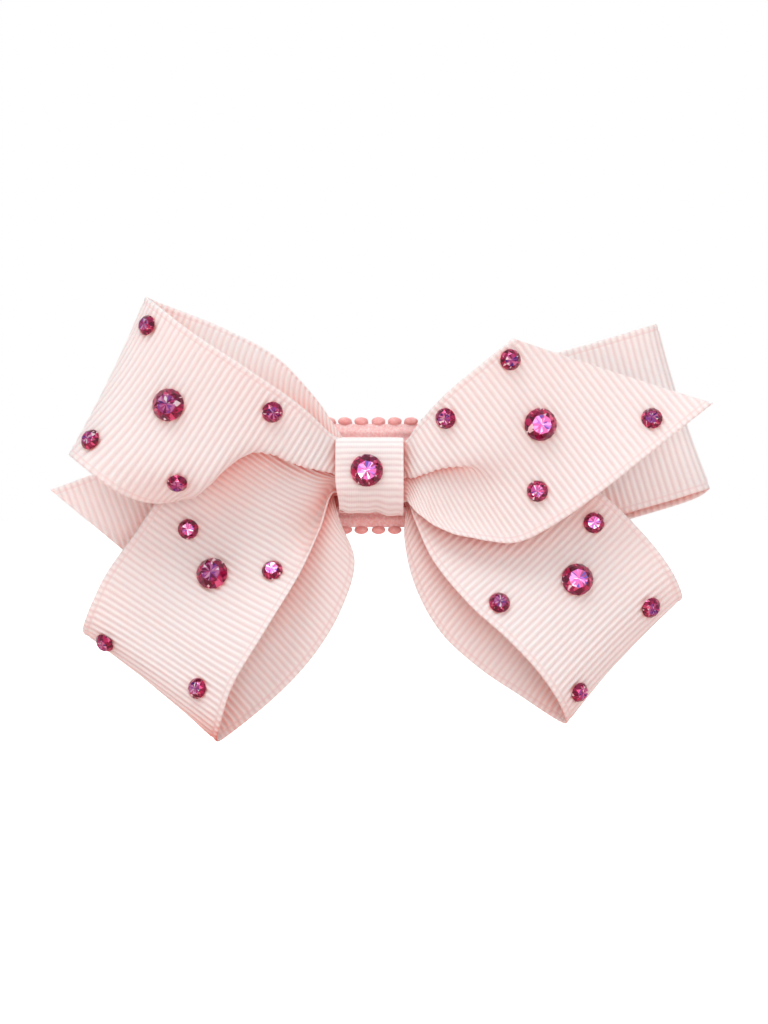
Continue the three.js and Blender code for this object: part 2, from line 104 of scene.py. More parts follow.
RIBBON_WIDTH = 25.4
HALF_WIDTH = RIBBON_WIDTH / 2
RIB_PITCH = 0.95
ROWS_PER_RIB = 6
RIB_CORE = 0.15
RIB_HEIGHT = 0.09
SELVAGE_WIDTH = 1.3
SELVAGE_STEP = 0.25
RIB_END = 0.9
GROOVE_PLACE = 0.85
GROOVE_HALF_WIDTH = 0.14
GROOVE_DEPTH = 0.05
LOOP_WIDTH = 0.75
LOOP_HEIGHT_SHARE = 0.8
FINE_STEPS = 420
FINE_ACROSS = 401

# Where a loop passes from the shape of its first length to that of its second.
TURN_START = 0.35
TURN_SPAN = 0.3

# Tables are [distance from the knot, value] pairs read as a smooth curve. Each end of a ribbon has:
# width - how much of the width shows; depth - how much of the depth of its folds is left;
# crown - how far it bows outward, in degrees; pleats - folds that run out from the knot, with
# the place across of the fold, the ribbon it takes in, the angle it turns and how soft it is.
GATHERED = {"width": [[0, 0.36], [14, 1], [60, 1]], "depth": [[0, 0.1], [10, 1], [60, 1]]}

# A station is a point on the guided edge and the direction across the ribbon there.
# At the two stations named in square_ribs the ribs run square to the ribbon's length.
# The first station, and the last one of a loop, lie inside the knot's wrap.
RIBBONS = {
    "upper_left_loop": {
        "edge": 1,
        "outward": 1,
        "square_ribs": (3, 8),
        "columns": 84,
        "bend": ((-5.0, 0, 0), (-10.0, 0, 0)),
        "front": {
            "width": [[0, 0.66], [8, 1], [40, 1]],
            "depth": [[0, 0.2], [10, 0.7], [20, 1], [60, 1]],
            "crown": [[0, 0], [10, 14], [40, 10], [60, 10]],
            "pleats": [{
                "place": [[0, 4.4], [7.2, 4.1], [8.9, 3.3], [10.3, 2.5], [11.8, 0.7], [13.2, -2],
                          [14.2, -4.6], [15.3, -6.3], [17, -6.5], [20, -7.4], [24, -8.6], [60, -9]],
                "taken": [[0, 9.2], [10, 9.2], [13, 12], [15, 16], [60, 16]],
                "angle": [[0, 172], [9, 168], [11, 155], [13.2, 140], [14.4, 125], [15.6, 105],
                          [17.5, 92], [20, 76], [23.6, 54], [27.5, 20], [33, 0], [60, 0]],
                "soft": [[0, 0.4], [8, 0.8], [11, 1.1], [14, 1.3], [16, 1.7], [60, 1.8]],
            }],
        },
        "back": {
            "width": [[0, 0.24], [8, 0.38], [17, 0.56], [24, 0.8], [36, 1], [60, 1]],
            "depth": [[0, 0.1], [10, 1], [60, 1]],
        },
        "stations": [
            [-3.4, -2.2, 4.4, 0, 0, 1],
            [-5.2, -2.5, 5.6, 0, 0, 1],
            [-9.9, -6, 9.9, 0.34, 0, 0.94],
            [-17.6, -8.2, 15.2, 0.44, 0, 0.9],
            [-25.5, -7.2, 20.4, 0.44, 0, 0.9],
            [-30.7, -4.6, 24.5, 0.44, 0, 0.9],
            [-32.2, -1.6, 25.7, 0.44, 0, 0.9],
            [-31.1, 0.8, 25.3, 0.44, 0, 0.9],
            [-21.1, 0, 21.3, 0.38, 0, 0.92],
            [-13.6, -1.2, 17.2, 0.27, 0, 0.96],
            [-8, -1.5, 11.4, 0.12, 0, 0.99],
            [-5.2, -1.3, 7.4, 0, 0, 1],
            [-3.4, -1.1, 4.5, 0, 0, 1],
        ],
    },
    "lower_left_loop": {
        "edge": -1,
        "outward": 1,
        "square_ribs": (4, 9),
        "columns": 60,
        "bend": ((-4.1, 0, -4.1), (-7.3, 0, -7.3)),
        "front": {
            "width": [[0, 0.27], [5, 0.76], [12, 1], [34, 1.03], [60, 1.03]],
            "depth": [[0, 0.3], [4, 0.7], [9, 1], [60, 1]],
            "crown": [[0, 0], [12, 30], [34, 25], [45, 5], [60, 5]],
            "pleats": [{
                "place": [[0, -9.6], [4, -9.6], [12, -10.4], [60, -10.4]],
                "taken": [[0, 6], [60, 6]],
                "angle": [[0, -60], [3, -75], [8, -60], [13, -25], [18, 0], [60, 0]],
                "soft": [[0, 0.3], [6, 0.4], [12, 0.9], [60, 1.5]],
            }, {
                "place": [[0, -2], [60, -2]],
                "taken": [[0, 7.8], [60, 7.8]],
                "angle": [[0, 40], [4, 55], [9, 45], [20, 0], [60, 0]],
                "soft": [[0, 0.9], [10, 1.6], [60, 2]],
            }],
        },
        "back": {"width": [[0, 0.3], [14, 1], [30, 1.03], [60, 1.03]],
                 "depth": [[0, 0.1], [10, 1], [60, 1]]},
        "stations": [
            [-3.4, 0.1, -3.2, 0, 0, 1],
            [-5.2, 0.1, -2.5, 0, 0, 1],
            [-7.4, 0.1, -8.1, -0.5, 0.06, 0.87],
            [-10.2, -1.6, -14.3, -0.66, 0.18, 0.73],
            [-15.1, -4.6, -22.5, -0.76, 0.3, 0.65],
            [-19.8, -5, -30.5, -0.78, 0.27, 0.62],
            [-21.6, -3.4, -36.4, -0.79, 0.25, 0.61],
            [-22, -0.6, -38.5, -0.79, 0.25, 0.61],
            [-20.8, 2, -38, -0.79, 0.22, 0.61],
            [-13.7, 3.4, -32.3, -0.82, 0.1, 0.57],
            [-8.3, 3.6, -26.5, -0.86, 0.08, 0.51],
            [-4.2, 3, -19.7, -0.9, 0.1, 0.44],
            [-2.2, 2, -12.4, -0.9, 0.12, 0.4],
            [-4.4, 1.4, -6.6, -0.4, 0.08, 0.92],
            [-5.2, 1.3, -3, 0, 0, 1],
            [-3.4, 1.2, -3.4, 0, 0, 1],
        ],
    },
    "lower_right_loop": {
        "edge": -1,
        "outward": -1,
        "square_ribs": (4, 11),
        "columns": 60,
        "bend": ((4.4, 0, -4.4), (7.4, 0, -7.4)),
        "front": {
            "width": [[0, 0.33], [9, 1], [60, 1]],
            "depth": [[0, 0.15], [8, 1], [60, 1]],
            "crown": [[0, 0], [9, 14], [40, 10], [60, 10]],
        },
        "back": {"width": [[0, 0.34], [12, 1], [60, 1]], "depth": [[0, 0.1], [10, 1], [60, 1]]},
        "stations": [
            [3.4, -1.1, -3.8, 0, 0, 1],
            [5.2, -1.2, -3.6, 0, 0, 1],
            [6.5, -1.6, -6.5, 0.45, 0.05, 0.89],
            [9.1, -2.6, -12.2, 0.6, 0.1, 0.79],
            [14.4, -4.2, -18.7, 0.65, 0.15, 0.75],
            [19.5, -5.2, -23.3, 0.68, 0.18, 0.73],
            [23.9, -5.4, -27.9, 0.69, 0.2, 0.72],
            [27, -4.4, -32.3, 0.69, 0.2, 0.72],
            [28.4, -1.8, -35.7, 0.69, 0.2, 0.72],
            [27.3, 0.8, -35.6, 0.69, 0.18, 0.72],
            [22, 2, -32.2, 0.72, 0.1, 0.69],
            [15.9, 2.4, -28.1, 0.78, -0.02, 0.62],
            [10.1, 2.2, -22.6, 0.84, -0.04, 0.54],
            [6.3, 1.5, -15.3, 0.86, -0.04, 0.5],
            [5, 0.6, -8.7, 0.6, 0, 0.8],
            [5.2, 0, -4.3, 0, 0, 1],
            [3.4, 0, -4.2, 0, 0, 1],
        ],
    },
    "right_rear_loop": {
        "edge": 0,
        "outward": -1,
        "square_ribs": (4, 8),
        "columns": 52,
        "bend": ((5.0, 0, 0), (10.0, 0, 0)),
        "front": dict(GATHERED, crown=[[0, 8], [60, 8]]),
        "back": GATHERED,
        "stations": [
            [3.4, 1.2, 0, 0, 0, 1],
            [5.3, 1.4, 0.1, 0, 0, 1],
            [10.4, 2.8, 0.7, -0.1, 0, 1],
            [22.1, 3.5, 3.5, -0.22, 0, 0.97],
            [35.3, 3.8, 7, -0.3, 0, 0.95],
            [44.4, 4, 9.7, -0.31, 0, 0.95],
            [45.5, 5.4, 10, -0.31, 0, 0.95],
            [44.6, 6.8, 9, -0.31, 0, 0.95],
            [35.5, 7, 6, -0.3, 0, 0.95],
            [22.2, 6.4, 2.5, -0.22, 0, 0.97],
            [10.4, 4.5, 0.7, -0.1, 0, 1],
            [5.3, 2.6, -0.1, 0, 0, 1],
            [3.4, 2.3, 0, 0, 0, 1],
        ],
    },
    "front_tail": {
        "edge": 1,
        "outward": -1,
        "square_ribs": (4, 6),
        "columns": 84,
        "bend": ((5.0, 0, 0), (10.0, 0, 0)),
        "cut": ((20.8, 19.3), (49.1, 10.2)),
        "front": {
            "width": [[0, 0.6], [2.5, 0.85], [5, 1], [50, 1]],
            "depth": [[0, 0.2], [8, 0.5], [20, 0.8], [50, 1]],
            "crown": [[0, 0], [10, 8], [30, 20], [60, 20]],
            "pleats": [{
                "place": [[0, 3.8], [3.8, 4.6], [10, 1.6], [14, -0.5], [60, -2]],
                "taken": [[0, 5.4], [3.8, 4.8], [7, 3.3], [10, 2.4], [14, 1.9], [60, 1.6]],
                "angle": [[0, 172], [8, 165], [10, 150], [14, 80], [20, 25], [28, 0], [60, 0]],
                "soft": [[0, 0.4], [4, 0.6], [8, 0.8], [10, 0.9], [16, 1.8], [25, 3], [60, 3]],
            }, {
                "place": [[0, -9.6], [60, -9.6]],
                "taken": [[0, 8], [60, 8]],
                "angle": [[0, -30], [4, -60], [8, -40], [14, 0], [60, 0]],
                "soft": [[0, 0.5], [60, 0.8]],
            }],
        },
        "stations": [
            [3.4, -2.2, 4.4, 0, 0, 1],
            [5.2, -2.5, 4.9, 0, 0, 1],
            [7.2, -4.5, 7.5, -0.05, 0, 1],
            [11.1, -7, 11.7, -0.26, 0, 0.96],
            [17.4, -7.5, 16.9, -0.48, 0, 0.87],
            [24.4, -6.8, 22.4, -0.59, 0, 0.8],
            [33, -6, 29.2, -0.62, 0, 0.78],
            [38.8, -5.5, 33.6, -0.62, 0, 0.78],
        ],
    },
    "rear_tail": {
        "edge": 0,
        "outward": 1,
        "square_ribs": (4, 5),
        "columns": 52,
        "bend": ((-5.0, 0, 0), (-10.0, 0, 0)),
        "cut": ((-47.4, -1.9), (-23.9, -21.4)),
        "front": GATHERED,
        "stations": [
            [-3.4, 2.3, 0, 0, 0, 1],
            [-5.2, 2.5, -0.1, 0, 0, 1],
            [-10.1, 4.1, -1.9, -0.15, 0, 1],
            [-20.4, 6.4, -5.7, -0.32, 0, 0.95],
            [-32.3, 7.7, -10.1, -0.36, 0, 0.93],
            [-44.2, 8, -14.5, -0.37, 0, 0.93],
            [-54.5, 8, -18.3, -0.37, 0, 0.93],
        ],
    },
}


# ---------------------------------------------------------------- curves and tables

def unit(vectors):
    return vectors / np.linalg.norm(vectors, axis=-1, keepdims=True)


def smooth_step(value):
    t = np.clip(value, 0, 1)
    return t * t * (3 - 2 * t)


def soft_step(value):
    return 1 / (1 + np.exp(-np.clip(value, -40, 40)))


def read_table(table, distance):
    """A smooth curve through the table's points that never overshoots them."""
    t = np.asarray(table, float)
    x = np.clip(distance, t[0, 0], t[-1, 0] - 1e-9)
    step = np.diff(t[:, 0])
    rise = np.diff(t[:, 1]) / step
    slope = np.zeros(len(t))
    slope[0], slope[-1] = rise[0], rise[-1]
    for i in range(1, len(t) - 1):
        if rise[i - 1] * rise[i] > 0:
            slope[i] = 2 * rise[i - 1] * rise[i] / (rise[i - 1] + rise[i])
    i = np.clip(np.searchsorted(t[:, 0], x, side="right") - 1, 0, len(t) - 2)
    u = (x - t[i, 0]) / step[i]
    held = t[i, 1] * (1 + 2 * u) * (1 - u) ** 2 + t[i + 1, 1] * u * u * (3 - 2 * u)
    return held + step[i] * (slope[i] * u * (1 - u) ** 2 - slope[i + 1] * u * u * (1 - u))


def through_points(knots, points, at):
    """A Catmull-Rom curve through points at the given knots."""
    first, last = 2 * points[0] - points[1], 2 * points[-1] - points[-2]
    p = np.vstack([first, points, last])
    k = np.concatenate([[2 * knots[0] - knots[1]], knots, [2 * knots[-1] - knots[-2]]])
    i = np.clip(np.searchsorted(knots, at, side="right") - 1, 0, len(knots) - 2)
    a, b, c, d = p[i], p[i + 1], p[i + 2], p[i + 3]
    before, here, after = ((k[i + n + 1] - k[i + n])[:, None] for n in range(3))
    leave = ((b - a) / before - (c - a) / (before + here) + (c - b) / here) * here
    arrive = ((c - b) / here - (d - b) / (here + after) + (d - c) / after) * here
    u = ((at - knots[i]) / (knots[i + 1] - knots[i]))[:, None]
    return (2 * b - 2 * c + leave + arrive) * u**3 + (3 * c - 3 * b - 2 * leave - arrive) * u**2 \
        + leave * u + b


def lengths_along(points):
    steps = np.linalg.norm(np.diff(points, axis=0), axis=-1)
    return np.concatenate([np.zeros_like(steps[:1]), np.cumsum(steps, axis=0)])


# ---------------------------------------------------------------- ribbon surface

def cross_section(end, distance, across):
    """Width share, depth share and turning angle across the ribbon, at each distance."""
    turn = np.zeros((len(distance), len(across)))
    for pleat in end.get("pleats", []):
        place, taken, angle, soft = (
            read_table(pleat[key], distance)[:, None] for key in ("place", "taken", "angle", "soft"))
        folded = soft_step((place - across) / soft) - soft_step((place - taken - across) / soft)
        turn = turn + np.radians(angle) * folded
    if "crown" in end:
        turn = turn + np.radians(read_table(end["crown"], distance))[:, None] * across / HALF_WIDTH
    return read_table(end["width"], distance), read_table(end["depth"], distance), turn


def guide_frames(spec):
    """Points along the guided edge, the ways across and out, distances, and rows of square ribs."""
    stations = np.array(spec["stations"], float)
    edge, across = stations[:, :3], unit(stations[:, 3:])
    knots = np.concatenate([[0], np.cumsum(np.linalg.norm(np.diff(edge, axis=0), axis=1) ** 0.5)])
    at = np.linspace(0, knots[-1], FINE_STEPS)
    points = through_points(knots, edge, at)
    ways = unit(through_points(knots, across, at))
    out = unit(np.cross(ways, np.gradient(points, axis=0))) * spec["outward"]
    distance = lengths_along(points)
    inside = np.interp(knots[1], at, distance)
    last = np.interp(knots[-2], at, distance) if "back" in spec else distance[-1]
    square = [np.interp(knots[station], at, np.arange(FINE_STEPS)) for station in spec["square_ribs"]]
    return points, ways, out, distance - inside, last - inside, square


def ribbon_surface(spec, across):
    """Mid-surface points of a ribbon on FINE_STEPS rows, and the rows of its two square ribs."""
    points, ways, out, distance, total, square = guide_frames(spec)
    fine = np.linspace(-HALF_WIDTH, HALF_WIDTH, FINE_ACROSS)
    step = fine[1] - fine[0]
    width, depth, turn = cross_section(spec["front"], distance, fine)
    if "back" in spec:
        back_width, back_depth, back_turn = cross_section(spec["back"], total - distance, fine)
        share = smooth_step((distance / total - TURN_START) / TURN_SPAN)
        width = width * (1 - share) + back_width * share
        depth = depth * (1 - share) + back_depth * share
        turn = turn * (1 - share)[:, None] + back_turn * share[:, None]
    sideways = np.cumsum(np.cos(turn), axis=1) * step
    rise = np.cumsum(np.sin(turn), axis=1) * step
    guided = spec["edge"] * HALF_WIDTH
    grid = np.zeros((FINE_STEPS, len(across), 3))
    for i in range(FINE_STEPS):
        x = np.interp(across, fine, sideways[i]) - np.interp(guided, fine, sideways[i])
        h = np.interp(across, fine, rise[i]) - np.interp(guided, fine, rise[i])
        grid[i] = points[i] + ways[i] * (x * width[i])[:, None] + out[i] * (h * depth[i])[:, None]
    return grid, square


def end_at_cut(line, along, cut):
    """How far along one lengthwise line the slanting cut crosses it."""
    (x0, z0), (x1, z1) = cut
    beyond = (line[:, 0] - x0) * (z1 - z0) - (line[:, 2] - z0) * (x1 - x0)
    beyond = beyond * np.sign(beyond[0])
    if not (beyond < 0).any():
        return along[-1]
    i = int(np.argmax(beyond < 0))
    share = beyond[i - 1] / (beyond[i - 1] - beyond[i])
    return along[i - 1] + share * (along[i] - along[i - 1])


def columns_across(count):
    """Places across the ribbon, closer together in its two selvages."""
    selvage = np.arange(0, SELVAGE_WIDTH, SELVAGE_STEP)
    inner = np.linspace(-HALF_WIDTH + SELVAGE_WIDTH, HALF_WIDTH - SELVAGE_WIDTH, count)
    return np.concatenate([-HALF_WIDTH + selvage, inner, HALF_WIDTH - selvage[::-1]])


def cord_profile(along, pitch):
    """+1 on the crest of each cord, -1 in the groove between two cords."""
    return 2 * (0.5 + 0.5 * np.cos(2 * np.pi * along / pitch)) ** 1.3 - 1


def rib_half_thickness(along, across, share):
    """Half the ribbon's thickness: cords across it, then a groove, then loops along its edge that
    stand between the cords."""
    cord = cord_profile(along, RIB_PITCH)
    from_edge = HALF_WIDTH - np.abs(across)
    inside = smooth_step((from_edge - RIB_END) / (SELVAGE_WIDTH - RIB_END))
    loops = -LOOP_HEIGHT_SHARE * cord * smooth_step((LOOP_WIDTH - from_edge) / 0.25)
    groove = GROOVE_DEPTH * np.exp(-((from_edge - GROOVE_PLACE) / GROOVE_HALF_WIDTH) ** 2)
    rounding = 0.55 + 0.45 * smooth_step(from_edge / 0.35)
    return (RIB_CORE - groove + RIB_HEIGHT * share * (cord * inside + loops)) * rounding


def square_rib(fine, along, square, start):
    """Places along of a rib that leaves the start column and runs square to the ribbon's length."""
    rows_at = np.arange(FINE_STEPS)
    ahead = unit(np.gradient(fine, axis=0))

    def at_row(column, row):
        return np.array([np.interp(row, rows_at, column[:, axis]) for axis in range(3)])

    level = np.zeros(fine.shape[1])
    level[start] = np.interp(square, rows_at, along[:, start])
    for walk in (range(start + 1, len(level)), range(start - 1, -1, -1)):
        before = start
        for j in walk:
            row = np.interp(level[before], along[:, before], rows_at)
            step = at_row(fine[:, j], row) - at_row(fine[:, before], row)
            level[j] = np.interp(row, rows_at, along[:, j]) - np.dot(step, at_row(ahead[:, before], row))
            before = j
    return level


def ribbon_grid(spec):
    """Outer and inner points, the way out, and the place along and across, row by row of cords."""
    across = columns_across(spec["columns"])
    fine, square = ribbon_surface(spec, across)
    along = lengths_along(fine)
    start = int(np.argmin(np.abs(across - spec["edge"] * HALF_WIDTH)))
    first, second = (square_rib(fine, along, row, start) for row in square)
    passing = smooth_step((np.arange(FINE_STEPS) - square[0]) / (square[1] - square[0]))[:, None]
    along = along - first * (1 - passing) - (second - second[start] + first[start]) * passing
    out = unit(np.cross(np.gradient(fine, axis=1), np.gradient(fine, axis=0))) * spec["outward"]
    ends = along[-1].copy()
    if "cut" in spec:
        ends = np.array([end_at_cut(fine[:, j], along[:, j], spec["cut"])
                         for j in range(len(across))])
    step = RIB_PITCH / ROWS_PER_RIB
    rows = np.arange(math.floor(along[0].min() / step), math.ceil(ends.max() / step) + 1) * step
    shape = (len(rows), len(across))
    middle_points, ways_out, place = np.zeros(shape + (3,)), np.zeros(shape + (3,)), np.zeros(shape)
    for j in range(len(across)):
        place[:, j] = np.clip(rows, along[0, j], ends[j])
        for axis in range(3):
            middle_points[:, j, axis] = np.interp(place[:, j], along[:, j], fine[:, j, axis])
            ways_out[:, j, axis] = np.interp(place[:, j], along[:, j], out[:, j, axis])
    ways_out = unit(ways_out)
    spread = np.broadcast_to(across, shape)
    near_knot = 1 - smooth_step((np.abs(middle_points[..., 0]) - 4.6) / 5)
    half = rib_half_thickness(place, spread, 1 - 0.65 * near_knot)[..., None]
    return middle_points, ways_out, half, np.stack([place, spread], axis=-1)


# ---------------------------------------------------------------- meshes

JOIN_WITHIN = 2e-6


def link_mesh(name, mesh):
    piece = bpy.data.objects.new(name, mesh)
    bpy.context.scene.collection.objects.link(piece)
    return piece


def mesh_from(name, points, faces, places=None, smooth=True):
    """A mesh in the frame, with each vertex's place along and across kept as a UV map."""
    mesh = bpy.data.meshes.new(name)
    mesh.from_pydata(to_frame(points).tolist(), [], faces)
    if places is not None:
        corners = np.zeros(len(mesh.loops), np.int32)
        mesh.loops.foreach_get("vertex_index", corners)
        layer = mesh.uv_layers.new(name="Weave")
        layer.data.foreach_set("uv", np.asarray(places, np.float32)[corners].ravel())
    mesh.polygons.foreach_set("use_smooth", np.full(len(mesh.polygons), smooth))
    mesh.update()
    return mesh


def grid_faces(rows, columns, start, turned, wrap_rows=False):
    index = np.arange(rows * columns).reshape(rows, columns) + start
    if wrap_rows:
        index = np.vstack([index, index[:1]])
    a, b, c, d = index[:-1, :-1], index[1:, :-1], index[1:, 1:], index[:-1, 1:]
    order = (a, d, c, b) if turned else (a, b, c, d)
    return np.stack(order, axis=-1).reshape(-1, 4).tolist()


def side_faces(upper, lower):
    """Quads between two matching lines of vertices."""
    quads = np.stack([upper[:-1], lower[:-1], lower[1:], upper[1:]], axis=-1)
    return quads.tolist()


def sheet_mesh(name, outer, inner, places, closed=False):
    """A closed body between two grids of points. A closed sheet joins its last row to its first."""
    rows, columns = outer.shape[:2]
    count = rows * columns
    top = np.arange(count).reshape(rows, columns)
    bottom = top + count
    faces = grid_faces(rows, columns, 0, False, closed) + grid_faces(rows, columns, count, True, closed)
    ring = np.concatenate([np.arange(rows), [0]]) if closed else np.arange(rows)
    faces += side_faces(top[ring, 0], bottom[ring, 0])
    faces += side_faces(bottom[ring, -1], top[ring, -1])
    if not closed:
        faces += side_faces(bottom[0], top[0])
        faces += side_faces(top[-1], bottom[-1])
    points = np.concatenate([outer.reshape(-1, 3), inner.reshape(-1, 3)])
    flat = places.reshape(-1, 2)
    return mesh_from(name, points, faces, np.concatenate([flat, flat]))


def ring_faces(rings, count):
    """Quads between each ring of points and the next one."""
    index = np.arange(rings * count).reshape(rings, count)
    following = np.roll(index, -1, axis=1)
    quads = np.stack([index[:-1], following[:-1], following[1:], index[1:]], axis=-1)
    return quads.reshape(-1, 4).tolist()


def capped_ring_faces(rings, count):
    """Faces of a closed body made of rings of points, with its first and its last ring filled in."""
    last = (rings - 1) * count
    return ring_faces(rings, count) + [list(range(count))[::-1], list(range(last, last + count))]


def clean(mesh, join_within=JOIN_WITHIN):
    """Joins points that fall together, which drops faces with no area, and turns all faces out."""
    work = bmesh.new()
    work.from_mesh(mesh)
    if join_within:
        bmesh.ops.remove_doubles(work, verts=work.verts, dist=join_within)
    bmesh.ops.recalc_face_normals(work, faces=work.faces)
    work.to_mesh(mesh)
    work.free()


def join_meshes(name, meshes):
    work = bmesh.new()
    for mesh in meshes:
        work.from_mesh(mesh)
    joined = bpy.data.meshes.new(name)
    work.to_mesh(joined)
    work.free()
    for mesh in meshes:
        bpy.data.meshes.remove(mesh)
    return joined


def add_piece(name, mesh, material, body, node):
    """Puts a finished mesh on one body, in place of its CAD node."""
    mesh.materials.append(material)
    piece = link_mesh(name, mesh)
    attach(piece, body)
    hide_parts(node)


# ---------------------------------------------------------------- shader nodes

class Nodes:
    """Short calls for building one material's node tree."""

    def __init__(self, name):
        self.material = bpy.data.materials.new(name)
        self.material.use_nodes = True
        self.tree = self.material.node_tree
        self.surface = self.tree.nodes["Principled BSDF"]

    def add(self, kind, links=(), **settings):
        node = self.tree.nodes.new(kind)
        for key, value in settings.items():
            setattr(node, key, value)
        for socket, source in dict(links).items():
            self.put(node, socket, source)
        return node

    def put(self, node, socket, source):
        if isinstance(source, bpy.types.NodeSocket):
            self.tree.links.new(source, node.inputs[socket])
        else:
            node.inputs[socket].default_value = source

    def finish(self, **sockets):
        for name, source in sockets.items():
            self.put(self.surface, name.replace("_", " "), source)
        return self.material

    def maths(self, operation, a, b=0.0, c=0.0):
        return self.add("ShaderNodeMath", {0: a, 1: b, 2: c}, operation=operation).outputs[0]

    def mix(self, share, a, b):
        node = self.add("ShaderNodeMix", {0: share, 6: a, 7: b}, data_type="RGBA")
        return node.outputs[2]

    def ramp(self, value, stops, interpolation="LINEAR"):
        node = self.add("ShaderNodeValToRGB", {0: value})
        ramp = node.color_ramp
        ramp.interpolation = interpolation
        ramp.elements[0].position, ramp.elements[0].color = stops[0]
        ramp.elements[1].position, ramp.elements[1].color = stops[-1]
        for position, tone in stops[1:-1]:
            ramp.elements.new(position).color = tone
        return node.outputs[0]

    def noise(self, vector, scale, detail=3.0, roughness=0.6):
        node = self.add("ShaderNodeTexNoise",
                        {"Vector": vector, "Scale": scale, "Detail": detail, "Roughness": roughness})
        return node.outputs[0]

    def scaled(self, vector, factors):
        return self.add("ShaderNodeVectorMath", {0: vector, 1: factors}, operation="MULTIPLY").outputs[0]

    def bump(self, height, strength, distance):
        node = self.add("ShaderNodeBump", {"Height": height, "Strength": strength, "Distance": distance})
        return node.outputs[0]


def colour(red, green, blue):
    """A colour given on screen, 0 to 255, as the linear value that nodes take."""
    values = np.array([red, green, blue]) / 255
    linear = np.where(values <= 0.04045, values / 12.92, ((values + 0.055) / 1.055) ** 2.4)
    return (*linear.tolist(), 1.0)


def grey(value):
    return (value, value, value, 1.0)


BLACK = grey(0.0)
WHITE = grey(1.0)
WARP_PITCH = 0.32
CHANNEL_PITCH = 1.6


def grosgrain_material():
    """Pale pink ribbed polyester ribbon. The ribs are in the mesh; this adds its yarns, a painted
    highlight on each cord's crest with painted shade in the grooves, painted shade along the groove
    inside each selvage, and pink painted shade in creases, inside the loops and under overlapping cloth.
    """
    n = Nodes("grosgrain")
    place = n.add("ShaderNodeUVMap", uv_map="Weave").outputs[0]
    split = n.add("ShaderNodeSeparateXYZ", {0: place})
    along, across = split.outputs[0], split.outputs[1]
    warp = n.maths("SINE", n.maths("MULTIPLY", across, 2 * math.pi / WARP_PITCH))
    yarn = n.noise(n.scaled(place, (3.0, 0.5, 1.0)), 1.0, 4.0, 0.7)
    fuzz = n.noise(n.scaled(place, (9.0, 9.0, 1.0)), 1.0, 2.0)
    # Painted highlight on each cord's crest and painted shade in the groove between cords.
    crest = n.maths("ABSOLUTE", n.maths("COSINE", n.maths("MULTIPLY", along, math.pi / RIB_PITCH)))
    cord_highlight_and_shade = n.ramp(crest, [(0.0, colour(235, 221, 221)), (0.6, colour(246, 238, 237)),
                            (1.0, colour(253, 250, 248))])
    # Painted shade along the groove just inside each selvage.
    inward = n.maths("SUBTRACT", HALF_WIDTH, n.maths("ABSOLUTE", across))
    band = n.ramp(inward, [(0.55, BLACK), (0.8, WHITE), (0.95, WHITE), (1.0, BLACK)])
    selvage_groove_shaded = n.mix(n.maths("MULTIPLY", band, 0.4), cord_highlight_and_shade, colour(236, 205, 203))
    yarned = n.mix(n.maths("MULTIPLY", yarn, 0.3), selvage_groove_shaded, colour(247, 240, 240))
    # Painted shade: pinker and darker where ambient occlusion finds cloth near, in creases, inside the
    # loops and under overlapping ribbon.
    open_sky = n.add("ShaderNodeAmbientOcclusion", {"Distance": 0.008}, samples=8).outputs["AO"]
    shade = n.ramp(open_sky, [(0.04, colour(236, 104, 96)), (0.25, colour(250, 176, 168)),
                              (0.5, colour(255, 228, 223)), (0.78, colour(255, 250, 249)),
                              (1.0, WHITE)])
    occlusion_shaded = n.add("ShaderNodeMix", {0: 1.0, 6: yarned, 7: shade}, data_type="RGBA",
                   blend_type="MULTIPLY").outputs[2]
    fuzzy_yarn = n.maths("MULTIPLY_ADD", fuzz, 0.5, yarn)
    height = n.maths("MULTIPLY_ADD", warp, 0.35, fuzzy_yarn)
    return n.finish(
        Base_Color=occlusion_shaded,
        Roughness=n.maths("MULTIPLY_ADD", yarn, 0.2, 0.5),
        Sheen_Weight=0.25,
        Sheen_Roughness=0.4,
        Subsurface_Weight=0.4,
        Subsurface_Radius=(1.0, 0.6, 0.55),
        Subsurface_Scale=0.0006,
        Normal=n.bump(height, 0.35, 0.00006),
    )


def elastic_material():
    """Salmon plush elastic: short pile with a faint glitter and lengthwise channels."""
    n = Nodes("plush_elastic")
    place = n.add("ShaderNodeUVMap", uv_map="Weave").outputs[0]
    object_place = n.add("ShaderNodeTexCoord").outputs["Object"]
    pile = n.noise(object_place, 2600.0, 3.0, 0.7)
    patch = n.noise(object_place, 420.0, 2.0)
    across = n.add("ShaderNodeSeparateXYZ", {0: place}).outputs[1]
    channel = n.maths("COSINE", n.maths("MULTIPLY", across, 2 * math.pi / CHANNEL_PITCH))
    base = n.ramp(pile, [(0.3, colour(240, 176, 176)), (0.5, colour(250, 206, 205)),
                         (0.68, colour(255, 240, 238))])
    varied = n.mix(n.maths("MULTIPLY", patch, 0.45), base, colour(250, 212, 210))
    height = n.maths("ADD", pile, n.maths("MULTIPLY", channel, 0.6))
    return n.finish(
        Base_Color=varied,
        Roughness=n.ramp(pile, [(0.35, grey(0.75)), (0.7, grey(0.4))]),
        Sheen_Weight=0.5,
        Sheen_Roughness=0.3,
        Subsurface_Weight=0.15,
        Subsurface_Radius=(1.0, 0.4, 0.35),
        Subsurface_Scale=0.001,
        Normal=n.bump(height, 0.6, 0.00012),
    )


def satin_material():
    """The smooth, slightly shiny yarn of the elastic's edge loops."""
    n = Nodes("satin_yarn")
    place = n.add("ShaderNodeTexCoord").outputs["Object"]
    strand = n.noise(place, 1500.0, 2.0)
    tone = n.ramp(strand, [(0.3, colour(240, 160, 158)), (0.7, colour(250, 192, 188))])
    return n.finish(Base_Color=tone, Roughness=0.32, Sheen_Weight=0.2, Coat_Weight=0.15,
                    Normal=n.bump(strand, 0.3, 0.00006))


